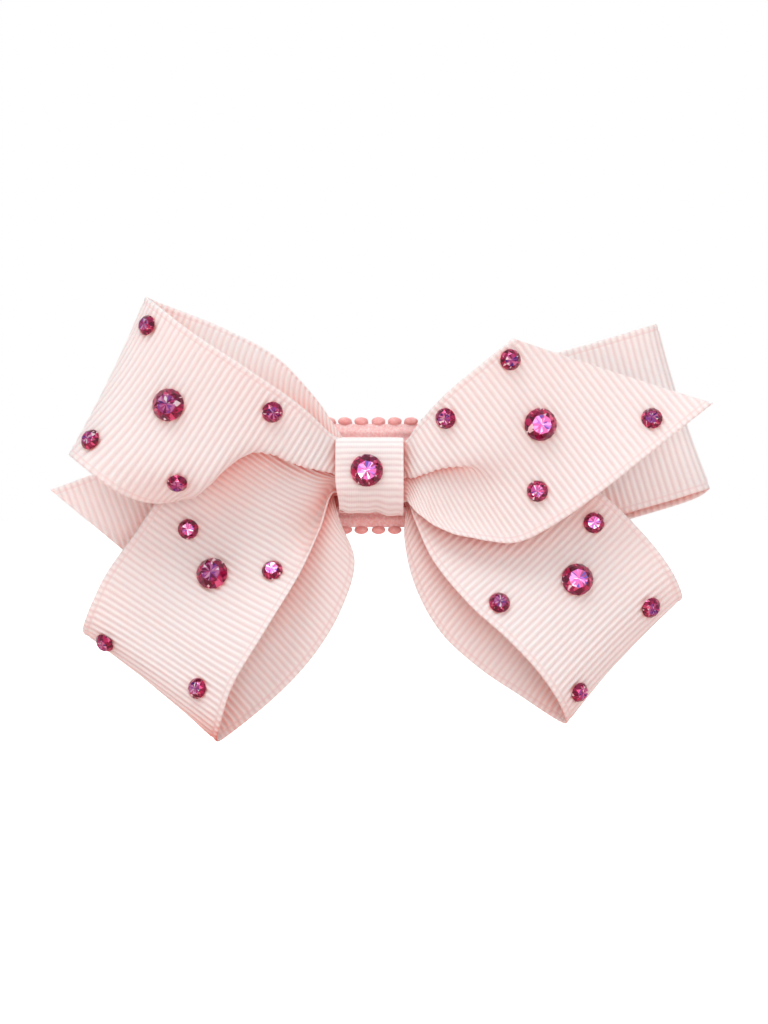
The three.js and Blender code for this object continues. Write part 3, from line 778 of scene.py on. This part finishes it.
def thread_material():
    """Twisted sewing thread."""
    n = Nodes("sewing_thread")
    place = n.add("ShaderNodeTexCoord").outputs["Object"]
    twist = n.add("ShaderNodeTexWave", {"Vector": place, "Scale": 900.0, "Distortion": 0.6},
                  bands_direction="DIAGONAL").outputs[1]
    tone = n.ramp(twist, [(0.0, colour(226, 180, 176)), (1.0, colour(250, 222, 218))])
    return n.finish(Base_Color=tone, Roughness=0.45, Sheen_Weight=0.2,
                    Normal=n.bump(twist, 0.5, 0.00008))


def glue_material():
    """Set hot glue: milky, glossy, a little lumpy."""
    n = Nodes("set_glue")
    place = n.add("ShaderNodeTexCoord").outputs["Object"]
    cloud = n.noise(place, 500.0, 3.0)
    tone = n.ramp(cloud, [(0.3, colour(233, 224, 205)), (0.7, colour(247, 242, 232))])
    return n.finish(Base_Color=tone, Roughness=n.maths("MULTIPLY_ADD", cloud, 0.2, 0.15),
                    Subsurface_Weight=0.4, Subsurface_Scale=0.0015,
                    Normal=n.bump(cloud, 0.3, 0.0002))


def crystal_material():
    """Fuchsia foiled crystal. Each facet shows its own tone at random, pink, fuchsia, violet or
    blue-violet, crossed by the star of facets behind it. The outer facets are painted in darker tones for
    the dark surroundings they reflect, a few facets are painted near white as glints, and the colour is
    painted a darker magenta at grazing angles, most towards the rim."""
    n = Nodes("fuchsia_crystal")
    tone = n.add("ShaderNodeAttribute", attribute_name="facet_tone").outputs["Fac"]
    place = n.add("ShaderNodeAttribute", attribute_name="stone_place").outputs["Vector"]
    split = n.add("ShaderNodeSeparateXYZ", {0: place})
    turn = n.maths("ARCTAN2", split.outputs[1], split.outputs[0])
    reach = n.add("ShaderNodeVectorMath", {0: place}, operation="LENGTH").outputs["Value"]
    shards = n.add("ShaderNodeCombineXYZ", {
        0: n.maths("MULTIPLY", turn, 16 / (2 * math.pi)),
        1: n.maths("MULTIPLY", reach, 2.4),
        2: n.maths("MULTIPLY", tone, 9.0)}).outputs[0]
    cell = n.add("ShaderNodeTexVoronoi", {"Vector": shards, "Scale": 1.0}).outputs["Color"]
    chance = n.add("ShaderNodeSeparateColor", {0: cell}).outputs[0]
    # The outer facets take darker tones, a painted reflection of the dark surroundings. The near-white
    # steps here and in the table ramp are painted glints.
    rim = n.ramp(chance, [
        (0.0, colour(96, 2, 44)), (0.3, colour(150, 10, 72)), (0.55, colour(196, 30, 92)),
        (0.72, colour(124, 6, 70)), (0.84, colour(232, 88, 136)), (0.94, colour(255, 232, 240))],
        "CONSTANT")
    table = n.ramp(chance, [
        (0.0, colour(120, 8, 70)), (0.16, colour(178, 64, 132)), (0.36, colour(208, 116, 172)),
        (0.54, colour(146, 70, 160)), (0.66, colour(62, 26, 124)), (0.76, colour(200, 44, 112)),
        (0.86, colour(234, 166, 206)), (0.94, colour(255, 250, 255))], "CONSTANT")
    foil = n.mix(n.ramp(reach, [(0.56, BLACK), (0.62, WHITE)]), table, rim)
    # Painted shade: a darker magenta at grazing angles, strongest towards the rim.
    grazing_share = n.add("ShaderNodeLayerWeight", {"Blend": 0.35}).outputs["Facing"]
    grazing_shaded = n.mix(n.maths("MULTIPLY", grazing_share, 0.3), foil, colour(140, 8, 84))
    return n.finish(Base_Color=grazing_shaded, Metallic=0.6, Roughness=0.08, IOR=1.5,
                    Coat_Weight=0.5, Coat_Roughness=0.02)


FLOOR_GLOW = 0.9
FLOOR_BOUNCE = colour(238, 200, 194)
WORLD_LIGHT = 0.61


def floor_material():
    """A plain pale floor. The camera sees it glow white, and the bow gets a pinkish bounce from it."""
    n = Nodes("pale_floor")
    place = n.add("ShaderNodeTexCoord").outputs["Object"]
    speck = n.noise(place, 40.0, 2.0)
    tone = n.ramp(speck, [(0.4, grey(0.93)), (0.6, grey(0.95))])
    seen = n.add("ShaderNodeLightPath").outputs["Is Camera Ray"]
    glow = n.maths("MULTIPLY", seen, FLOOR_GLOW)
    bounced = n.mix(seen, FLOOR_BOUNCE, tone)
    return n.finish(Base_Color=bounced, Roughness=0.9, Emission_Color=tone, Emission_Strength=glow)


GROSGRAIN = grosgrain_material()
ELASTIC = elastic_material()
SATIN = satin_material()
THREAD = thread_material()
GLUE = glue_material()
CRYSTAL = crystal_material()


# ---------------------------------------------------------------- ribbons

SEATS = {}


def build_ribbon(name, spec):
    points, out, half, places = ribbon_grid(spec)
    mesh = sheet_mesh(name + "_cloth", points + out * half, points - out * half, places)
    clean(mesh)
    mesh.materials.append(GROSGRAIN)
    piece = link_mesh(name + "_grosgrain", mesh)
    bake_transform(piece)
    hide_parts(name)
    SEATS[name] = ((points + out * (RIB_CORE + RIB_HEIGHT)).reshape(-1, 3), out.reshape(-1, 3))


# ---------------------------------------------------------------- knot

WRAP_HALF_HEIGHT = 5.25
WRAP_HALF_DEPTH = 3.65
WRAP_HALF_WIDTH = 4.9
WRAP_CORE = 0.16
WRAP_RIB_HEIGHT = 0.07
WRAP_PITCH = 0.86
WRAP_ROWS_PER_RIB = 6
WRAP_COLUMNS = 48
WRAP_REACH = math.radians(202)
WRAP_LIFT = 0.8
WRAP_FOOT = -5.0
WRAP_PINCH = 0.5
WRAP_SLOPE = 1.3
WRAP_SAG = 0.42
WRAP_CREASE = 0.14
WRAP_EDGE_CURL = 0.22
ROUNDING_POWER = 4

CENTRE_HALF_LENGTH = 4.2
CENTRE_HALF_DEPTH = 2.95
CENTRE_HALF_HEIGHT = 4.45
CENTRE_FOLDS = 18
CENTRE_FOLD_DEPTH = 0.22
WAIST_DEPTH = 0.95
WAIST_HALF_WIDTH = 1.3


def rounded_reach(angle, half_depth, half_height):
    """Distance from the middle to the edge of a rounded box, at each angle."""
    total = np.abs(np.cos(angle) / half_depth) ** ROUNDING_POWER \
        + np.abs(np.sin(angle) / half_height) ** ROUNDING_POWER
    return total ** (-1 / ROUNDING_POWER)


def wrap_outline(angle):
    """The wrap's path round the knot, its last part lifted to lap over its first at the back."""
    lift = WRAP_LIFT * smooth_step((np.degrees(angle) - 90) / 60)
    reach = rounded_reach(angle, WRAP_HALF_DEPTH + lift, WRAP_HALF_HEIGHT + lift / 2)
    return -reach * np.cos(angle), reach * np.sin(angle)


def wrap_path():
    """Rows of the wrap, evenly spaced: the place along it, and its path's y and z."""
    fine = np.linspace(-WRAP_REACH, WRAP_REACH, 900)
    along = lengths_along(np.stack(wrap_outline(fine), axis=-1))
    place = np.arange(0, along[-1], WRAP_PITCH / WRAP_ROWS_PER_RIB)
    y, z = wrap_outline(np.interp(place, along, fine))
    return place[:, None], y[:, None], z[:, None]


def toward_foot(z, top):
    """0 above the height top, and 1 at the foot of the wrap."""
    return smooth_step((top - z) / (top - WRAP_FOOT))


def wrap_surface(y, z, share, low_front):
    """Mid-surface points and ways out. The lower front is waved, creased, pulled in and sloped."""
    pinch = WRAP_PINCH * toward_foot(z, -0.5)
    x = share * WRAP_HALF_WIDTH + pinch * (1 - share) / 2
    wave = 0.16 * np.sin(1.15 * x + 0.6) + 0.1 * np.sin(2.3 * x - 1.0)
    sag = WRAP_SAG * smooth_step((x + 1.5) / 5.5)
    z_grid = z + low_front(-1.5) * (wave - sag)
    crease = WRAP_CREASE * np.cos(2.1 * z_grid + 0.5 * x) * low_front(-1.5)
    edge_curl = WRAP_EDGE_CURL * np.abs(share) ** 6 * np.sign(y)
    y_grid = y - crease + WRAP_SLOPE * low_front(-1.2) + edge_curl
    points = np.stack([x, y_grid, z_grid], axis=-1)
    out = unit(np.cross(np.gradient(points, axis=0), np.gradient(points, axis=1)))
    inward = (out * points * [0, 1, 1]).sum(axis=-1, keepdims=True) < 0
    return points, np.where(inward, -out, out)


def wrap_half_thickness(place, share, lower):
    """Half the wrap's thickness: its cords, flatter where it lies tight, and its selvage loops."""
    from_edge = (1 - np.abs(share)) * WRAP_HALF_WIDTH
    inside = smooth_step((from_edge - 0.5) / 0.4)
    loops = LOOP_HEIGHT_SHARE * smooth_step((0.45 - from_edge) / 0.2)
    height = WRAP_RIB_HEIGHT * (0.45 + 0.55 * lower)
    rounding = 0.6 + 0.4 * smooth_step(from_edge / 0.25)
    return (WRAP_CORE + height * cord_profile(place, WRAP_PITCH) * (inside - loops)) * rounding


def build_knot_wrap():
    """A narrow ribbon taken once round the knot, creased and pulled in at its lower front."""
    place, y, z = wrap_path()
    even = np.linspace(-1, 1, WRAP_COLUMNS)[None, :]
    share = np.sign(even) * (1 - (1 - np.abs(even)) ** 1.25)
    facing = smooth_step((-y - 0.2) / 1.5)

    def low_front(top):
        return toward_foot(z, top) * facing

    points, out = wrap_surface(y, z, share, low_front)
    half = wrap_half_thickness(place, share, low_front(-1.5))[..., None]
    x = points[..., 0]
    places = np.stack([np.broadcast_to(place * RIB_PITCH / WRAP_PITCH, x.shape), x], axis=-1)
    mesh = sheet_mesh("knot_wrap_cloth", points + out * half, points - out * half, places)
    clean(mesh)
    add_piece("knot_wrap_grosgrain", mesh, GROSGRAIN, "knot", "knot_wrap")
    front = points[..., 1] < 0
    SEATS["knot"] = ((points + out * (WRAP_CORE + WRAP_RIB_HEIGHT))[front], out[front])


def build_gathered_centre():
    """The pleated middle of the ribbons inside the wrap, drawn in where the thread binds it."""
    around = np.linspace(0, 2 * np.pi, 240, endpoint=False)
    rings = []
    for x in np.linspace(-CENTRE_HALF_LENGTH, CENTRE_HALF_LENGTH, 57):
        waist = WAIST_DEPTH * math.exp(-(x / WAIST_HALF_WIDTH) ** 2)
        sway = 0.5 * math.sin(x)
        fold = CENTRE_FOLD_DEPTH * np.abs(np.sin(CENTRE_FOLDS / 2 * around + sway)) ** 0.6
        reach = rounded_reach(around, CENTRE_HALF_DEPTH - waist, CENTRE_HALF_HEIGHT - waist) - fold
        ring = [np.full_like(around, x), reach * np.cos(around), reach * np.sin(around)]
        rings.append(np.stack(ring, axis=-1))
    rings = np.array(rings)
    places = np.stack([rings[..., 0], np.broadcast_to(around * 4, rings.shape[:2])], axis=-1)
    mesh = mesh_from("gathered_centre_cloth", rings.reshape(-1, 3), capped_ring_faces(*rings.shape[:2]),
                     places.reshape(-1, 2))
    clean(mesh)
    add_piece("gathered_centre_pleats", mesh, GROSGRAIN, "knot", "gathered_centre")


def build_knot_glue():
    """The squeezed-out pad of glue between the knot and the elastic."""
    low, high = box_of("knot_glue")
    half = (high - low) / 2
    centre = (high + low) / 2
    around = np.linspace(0, 2 * np.pi, 72, endpoint=False)
    uneven = 1 + 0.035 * np.sin(3 * around + 1) + 0.025 * np.sin(7 * around) + 0.015 * np.sin(11 * around)
    reach = rounded_reach(around, half[0], half[2]) * uneven * 0.96
    layers = [(-1, 0.9), (-0.75, 0.98), (0, 1.02), (0.75, 0.98), (1, 0.9)]
    rings = np.array([np.stack([centre[0] + share * reach * np.cos(around),
                                np.full_like(around, centre[1] + depth * half[1]),
                                centre[2] + share * reach * np.sin(around)], axis=-1)
                      for depth, share in layers])
    mesh = mesh_from("knot_glue_pad", rings.reshape(-1, 3), capped_ring_faces(*rings.shape[:2]))
    clean(mesh)
    add_piece("knot_glue_pad", mesh, GLUE, "knot", "knot_glue")


# ---------------------------------------------------------------- elastic

BAND_HALF_HEIGHT = 7.6
BAND_HALF_THICKNESS = 0.45
BAND_FLAT_HALF = 6.0
BAND_HALF_LENGTH = 29.0
BAND_TURN_RADIUS = 1.8
BAND_STEP = 0.22
BAND_LINES = 57
BAND_STRETCH = 25.0
CHANNEL_DEPTH = 0.05
PILE_DEPTH = 0.035
PICOT_SPACING = 2.4
PICOT_HALF_SIZES = (1.02, 0.5, 0.62)
PICOT_CENTRE = 0.4

# The turns give way only this far inside the two strands, so that the strands keep their thickness.
STRAND_ROOM = 0.55

STITCHES = 14
STITCH_RADIUS = 0.17
STITCH_BOW = 0.12


def rear_strand_y():
    return from_frame(middle("band_rear"))[1]


def band_path():
    """The elastic's closed middle line in plan: front strand, right turn, rear strand, left turn."""
    front_y = box_of("band_front")[0][1] + BAND_HALF_THICKNESS
    rear_y = rear_strand_y()
    turn_y = rear_y - 2 * BAND_TURN_RADIUS
    x = np.linspace(-BAND_HALF_LENGTH, BAND_HALF_LENGTH, 400)
    share = (np.abs(x) - BAND_FLAT_HALF) / (BAND_HALF_LENGTH - BAND_FLAT_HALF)
    front = np.stack([x, front_y + (turn_y - front_y) * smooth_step(share)], axis=-1)
    angle = np.linspace(-np.pi / 2, np.pi / 2, 60)[1:-1]
    right = np.stack([BAND_HALF_LENGTH + BAND_TURN_RADIUS * np.cos(angle),
                      rear_y - BAND_TURN_RADIUS + BAND_TURN_RADIUS * np.sin(angle)], axis=-1)
    rear = np.stack([-x, np.full_like(x, rear_y)], axis=-1)
    left = right[::-1] * [-1, 1]
    return np.concatenate([front, right, rear, left])


def points_at(at, along, line):
    """The plan points of a line at the given distances along it."""
    return np.stack([np.interp(at, along, line[:, axis]) for axis in range(2)], axis=-1)


def evenly_along(path, spacing):
    """Points spaced evenly round a closed path, the spacing nudged so that they close."""
    closed = np.vstack([path, path[:1]])
    along = lengths_along(closed)
    count = int(round(along[-1] / spacing))
    at = np.arange(count) * along[-1] / count
    return points_at(at, along, closed), at


def band_sheet(name, path, at, closed):
    """A plush strip: lengthwise channels across its height, rounded edges and a fine pile."""
    turn = np.pi / 2 * 0.9
    heights = BAND_HALF_HEIGHT * np.sin(np.linspace(-1, 1, BAND_LINES) * turn) / math.sin(turn)
    if closed:
        way = unit(np.roll(path, -1, axis=0) - np.roll(path, 1, axis=0))
    else:
        way = unit(np.gradient(path, axis=0))
    out = np.stack([way[:, 1], -way[:, 0]], axis=-1)
    random = np.random.default_rng(7)
    channel = CHANNEL_DEPTH * np.cos(2 * np.pi * heights / CHANNEL_PITCH)
    edge = np.sqrt(np.clip(1 - (np.abs(heights) / (BAND_HALF_HEIGHT + 0.02)) ** 10, 0.05, 1))
    layers = []
    for side in (1, -1):
        pile = random.uniform(-PILE_DEPTH, PILE_DEPTH, (len(path), len(heights)))
        half = (BAND_HALF_THICKNESS - 0.08) * edge[None, :] + channel[None, :] + pile
        x = path[:, :1] + side * out[:, :1] * half
        y = path[:, 1:] + side * out[:, 1:] * half
        layers.append(np.stack([x, y, np.broadcast_to(heights, x.shape)], axis=-1))
    places = np.stack(np.broadcast_arrays(at[:, None], heights[None, :]), axis=-1)
    return sheet_mesh(name, layers[0], layers[1], places, closed)


def ball_shape(rings=9, sides=12):
    """Points and faces of a ball of radius 1, with its poles at the bottom and the top."""
    lift = np.linspace(-np.pi / 2, np.pi / 2, rings + 2)[1:-1]
    angle = np.linspace(0, 2 * np.pi, sides, endpoint=False)
    points = [(math.cos(u) * math.cos(a), math.cos(u) * math.sin(a), math.sin(u))
              for u in lift for a in angle]
    points += [(0, 0, -1), (0, 0, 1)]
    faces = ring_faces(rings, sides)
    bottom, top = rings * sides, rings * sides + 1
    last_ring = bottom - sides
    for i in range(sides):
        j = (i + 1) % sides
        faces.append([bottom, j, i])
        faces.append([top, last_ring + i, last_ring + j])
    return np.array(points), faces


def turn_limits():
    """Where the elastic's turns start and stop giving way when it is stretched."""
    rear_y = rear_strand_y()
    return rear_y - 2 * BAND_TURN_RADIUS + STRAND_ROOM, rear_y - STRAND_ROOM


def stretch_share(y):
    """How far through the turns a place is, 0 on the front strand and 1 on the rear one."""
    start, end = turn_limits()
    return np.clip((y - start) / (end - start), 0, 1)


def picot_stations():
    """Places and ways of the picots on the elastic's right half. They stand evenly once it is
    stretched, so at rest they crowd together on its turns."""
    path = band_path()
    half = path[path[:, 0] > 0]
    stretched = half.copy()
    stretched[:, 1] += BAND_STRETCH * smooth_step(stretch_share(half[:, 1]))
    along = lengths_along(stretched)
    count = int(round(along[-1] / PICOT_SPACING))
    at = (np.arange(count) + 0.5) * along[-1] / count
    return points_at(at, along, half), unit(points_at(at, along, np.gradient(half, axis=0)))


def picot_group(place, way):
    """Four small plump loops of yarn: at both edges of the right half and of the left half."""
    ball, ball_faces = ball_shape()
    along, thick, high = PICOT_HALF_SIZES
    a, b = ball[:, :1] * along, ball[:, 1:2] * thick
    points, faces = [], []
    for edge in (1, -1):
        for side in (1, -1):
            dx, dy = way[0] * side, way[1]
            x = place[0] * side + a * dx - b * dy
            y = place[1] + a * dy + b * dx
            height = edge * (BAND_HALF_HEIGHT + PICOT_CENTRE + ball[:, 2:] * high)
            faces += [[corner + len(ball) * len(points) for corner in face] for face in ball_faces]
            points.append(np.concatenate([x, y, height], axis=1))
    return np.concatenate(points), faces


def blend_elastic(piece):
    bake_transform(piece)


def build_turn_picots(number, mesh):
    """Picots on the turns, each group made a piece of its own."""
    clean(mesh, join_within=None)
    mesh.materials.append(SATIN)
    blend_elastic(link_mesh(f"elastic_turn_picots_{number}", mesh))


def build_elastic():
    """The plush loop with the picots of its two strands, and the picots of its turns apart."""
    path, at = evenly_along(band_path(), BAND_STEP)
    meshes = [band_sheet("band_sheet", path, at, True)]
    start, end = turn_limits()
    groups_on_turns = 0
    for place, way in zip(*picot_stations()):
        points, faces = picot_group(place, way)
        mesh = mesh_from("picots", points, faces)
        if points[:, 1].max() > start and points[:, 1].min() < end:
            groups_on_turns += 1
            build_turn_picots(groups_on_turns, mesh)
        else:
            mesh.polygons.foreach_set("material_index", np.ones(len(mesh.polygons), np.int32))
            meshes.append(mesh)
    mesh = join_meshes("elastic_loop", meshes)
    clean(mesh, join_within=None)
    mesh.materials.append(ELASTIC)
    mesh.materials.append(SATIN)
    piece = link_mesh("elastic_loop", mesh)
    blend_elastic(piece)
    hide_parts("band_front", "band_rear", "band_left_turn", "band_right_turn")


def build_band_lap():
    """The end of the elastic that laps over itself inside the rear strand."""
    low, high = box_of("band_lap")
    x = np.arange(low[0], high[0], BAND_STEP)
    path = np.stack([x, np.full_like(x, (low[1] + high[1]) / 2)], axis=-1)
    mesh = band_sheet("band_lap_sheet", path, x, False)
    clean(mesh)
    add_piece("band_lap_plush", mesh, ELASTIC, "band_rear", "band_lap")


def tube_shape(path, radius, sides=8):
    """Points and faces of a round tube along a path of points, with its ends closed."""
    tangent = unit(np.gradient(path, axis=0))
    side = unit(np.cross(tangent, np.where(np.abs(tangent[:, :1]) < 0.9, [[1.0, 0, 0]], [[0, 1.0, 0]])))
    up = np.cross(side, tangent)
    angle = np.linspace(0, 2 * np.pi, sides, endpoint=False)
    ring = side[:, None] * np.cos(angle)[None, :, None] + up[:, None] * np.sin(angle)[None, :, None]
    points = path[:, None] + ring * radius
    return points.reshape(-1, 3), capped_ring_faces(len(path), sides)


def stitch_line(low, high, y, bow):
    """A zigzag thread between two corners, lying at y and dipping into the cloth at each corner."""
    share = np.linspace(0, STITCHES, STITCHES * 8 + 1)
    corner = np.arange(STITCHES + 1)
    x = np.where(corner % 2, high[0], low[0]) * 0.8
    dip = bow * (np.abs(np.sin(np.pi * share)) - 1)
    return np.stack([np.interp(share, corner, x), y + dip,
                     np.interp(share, corner, np.linspace(low[2], high[2], STITCHES + 1))], axis=-1)


def build_seam_stitches():
    """Zigzag stitches through both layers of the lap, seen on its inner and its rear face."""
    low, high = box_of("seam_stitches")
    inner_y = (low[1] + high[1]) / 2
    rear_y = box_of("band_rear")[1][1] - 0.02
    points, faces = [], []
    for y, bow in ((inner_y, -STITCH_BOW), (rear_y, STITCH_BOW)):
        tube, tube_faces = tube_shape(stitch_line(low, high, y, bow), STITCH_RADIUS)
        faces += [[corner + len(tube) * len(points) for corner in face] for face in tube_faces]
        points.append(tube)
    mesh = mesh_from("seam_thread", np.concatenate(points), faces)
    clean(mesh)
    add_piece("seam_zigzag", mesh, THREAD, "band_rear", "seam_stitches")


def finish_binding_thread():
    """The thread under the wrap keeps its CAD shape and gets the thread's material."""
    materials = frame["nodes"]["binding_thread"].data.materials
    materials.clear()
    materials.append(THREAD)


# ---------------------------------------------------------------- crystals

SEAT_DEPTH_SHARE = 0.15
SEAT_FACING = 0.35
SEAT_SINK = 0.08
CRYSTAL_HEIGHT_SHARE = 0.72
GIRDLE_FACETS = 16
TABLE_FACETS = 8


def crystal_shape(radius, height):
    """Points and faces of a flat-backed brilliant: girdle, lower facets, star facets and table."""
    girdle = np.arange(GIRDLE_FACETS) * 2 * np.pi / GIRDLE_FACETS
    star = np.arange(TABLE_FACETS) * 2 * np.pi / TABLE_FACETS
    half_turn = np.pi / TABLE_FACETS

    def ring(angles, reach, level):
        return [(radius * reach * math.cos(angle), radius * reach * math.sin(angle), level * height)
                for angle in angles]

    points = ring(girdle, 0.86, 0.0) + ring(girdle, 1.0, 0.3) + ring(star, 0.84, 0.68)
    points += ring(star + half_turn, 0.6, 1.0) + [(0, 0, height)]
    base, rim, middle_ring, table = 0, GIRDLE_FACETS, 2 * GIRDLE_FACETS, 2 * GIRDLE_FACETS + TABLE_FACETS
    faces = [list(range(GIRDLE_FACETS))[::-1]]
    for i in range(GIRDLE_FACETS):
        j = (i + 1) % GIRDLE_FACETS
        faces.append([base + i, base + j, rim + j, rim + i])
    for i in range(TABLE_FACETS):
        here, after = middle_ring + i, middle_ring + (i + 1) % TABLE_FACETS
        a, b, c = (rim + (2 * i + k) % GIRDLE_FACETS for k in range(3))
        top, before = table + i, table + (i - 1) % TABLE_FACETS
        faces += [[a, b, here], [b, c, after], [b, after, top], [b, top, here], [here, top, before]]
        faces.append([top, table + (i + 1) % TABLE_FACETS, table + TABLE_FACETS])
    return np.array(points), faces


def find_seat(centre, seats):
    """The point of the cloth nearest to a stone's place, and the way out of the cloth there."""
    points, ways = seats
    facing = ways[:, 1] < -SEAT_FACING
    points, ways = points[facing], ways[facing]
    offset = (points - centre) * [1, SEAT_DEPTH_SHARE, 1]
    nearest = int(np.argmin((offset ** 2).sum(axis=1)))
    return points[nearest], ways[nearest]


def build_crystal(node, body, seats):
    """One crystal on the cloth, turned and toned by chance, with a seed made from its name."""
    low, high = box_of(node)
    seat, out = find_seat((low + high) / 2, seats)
    radius = (high - low)[[0, 2]].max() / 2
    shape, faces = crystal_shape(radius, CRYSTAL_HEIGHT_SHARE * radius)
    random = np.random.default_rng(sum(ord(letter) * (i + 1) for i, letter in enumerate(node)))
    spin = random.uniform(0, 2 * np.pi)
    side = unit(np.cross(out, [0.1, 0.2, 1.0]))
    up = np.cross(out, side)
    side, up = side * math.cos(spin) + up * math.sin(spin), up * math.cos(spin) - side * math.sin(spin)
    placed = seat + shape[:, :1] * side + shape[:, 1:2] * up + (shape[:, 2:] - SEAT_SINK) * out
    mesh = mesh_from(node + "_facets", placed, faces, smooth=False)
    tone = mesh.attributes.new("facet_tone", "FLOAT", "FACE")
    tone.data.foreach_set("value", random.uniform(0, 1, len(faces)).astype(np.float32))
    stone = mesh.attributes.new("stone_place", "FLOAT_VECTOR", "POINT")
    local = np.concatenate([shape[:, :2] / radius, np.zeros((len(shape), 1))], axis=1)
    stone.data.foreach_set("vector", local.astype(np.float32).ravel())
    add_piece(node + "_stone", mesh, CRYSTAL, body, node)


# ---------------------------------------------------------------- stage, light and camera

CAMERA_DISTANCE = 0.42
CAMERA_LENS = 101.8
CAMERA_SHIFT = Vector((0.0007, 0, 0.0011))
FLOOR_REACH = 30.0
FLOOR_GAP = 0.001


def build_stage():
    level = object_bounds()[0].z - FLOOR_GAP
    corners = [(x * FLOOR_REACH, y * FLOOR_REACH, level) for x, y in ((-1, -1), (1, -1), (1, 1), (-1, 1))]
    mesh = bpy.data.meshes.new("floor")
    mesh.from_pydata(corners, [], [(0, 1, 2, 3)])
    mesh.materials.append(floor_material())
    link_mesh("floor", mesh)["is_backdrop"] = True


def build_world():
    """Even pale light all round. The camera sees it at full white."""
    world = bpy.data.worlds.new("studio")
    world.use_nodes = True
    tree = world.node_tree
    sky = tree.nodes["Background"]
    seen = tree.nodes.new("ShaderNodeLightPath").outputs["Is Camera Ray"]
    strength = tree.nodes.new("ShaderNodeMix")
    strength.inputs[2].default_value = WORLD_LIGHT
    strength.inputs[3].default_value = 1.0
    tree.links.new(seen, strength.inputs[0])
    tree.links.new(strength.outputs[0], sky.inputs["Strength"])
    sky.inputs["Color"].default_value = WHITE
    bpy.context.scene.world = world
    bpy.context.scene.view_settings.view_transform = "Standard"


def add_softbox(name, place, size, power, aim):
    light = bpy.data.lights.new(name, "AREA")
    light.shape = "RECTANGLE"
    light.size, light.size_y = size
    light.energy = power
    lamp = bpy.data.objects.new(name, light)
    lamp.location = place
    lamp.rotation_mode = "QUATERNION"
    lamp.rotation_quaternion = (Vector(aim) - Vector(place)).to_track_quat("-Z", "Y")
    bpy.context.scene.collection.objects.link(lamp)


def build_lights():
    aim = Vector(KNOT)
    add_softbox("key_light", aim + Vector((-0.13, -0.26, 0.46)), (0.3, 0.24), 1.05, aim)
    add_softbox("fill_light", aim + Vector((0.08, -0.55, 0.02)), (0.35, 0.3), 0.85, aim)
    add_softbox("rear_light", aim + Vector((0.1, 0.4, 0.35)), (0.4, 0.3), 0.9, aim)


def build_camera():
    low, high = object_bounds()
    aim = (low + high) / 2 + CAMERA_SHIFT
    data = bpy.data.cameras.new("photo_view")
    data.lens = CAMERA_LENS
    data.clip_start, data.clip_end = 0.01, 10
    camera = bpy.data.objects.new("photo_view", data)
    camera.location = (aim.x, KNOT[1] - CAMERA_DISTANCE, aim.z)
    camera.rotation_euler = (math.pi / 2, 0, 0)
    bpy.context.scene.collection.objects.link(camera)
    bpy.context.scene.camera = camera


# ---------------------------------------------------------------- assembly

for ribbon_name, ribbon_spec in RIBBONS.items():
    build_ribbon(ribbon_name, ribbon_spec)
build_knot_wrap()
build_gathered_centre()
build_knot_glue()
build_elastic()
build_band_lap()
build_seam_stitches()
finish_binding_thread()

for body, nodes in frame["record"]["behaviour"]["bodies"].items():
    for node in nodes:
        if "crystal" in node:
            build_crystal(node, body, SEATS[body])

build_stage()
build_world()
build_lights()
build_camera()
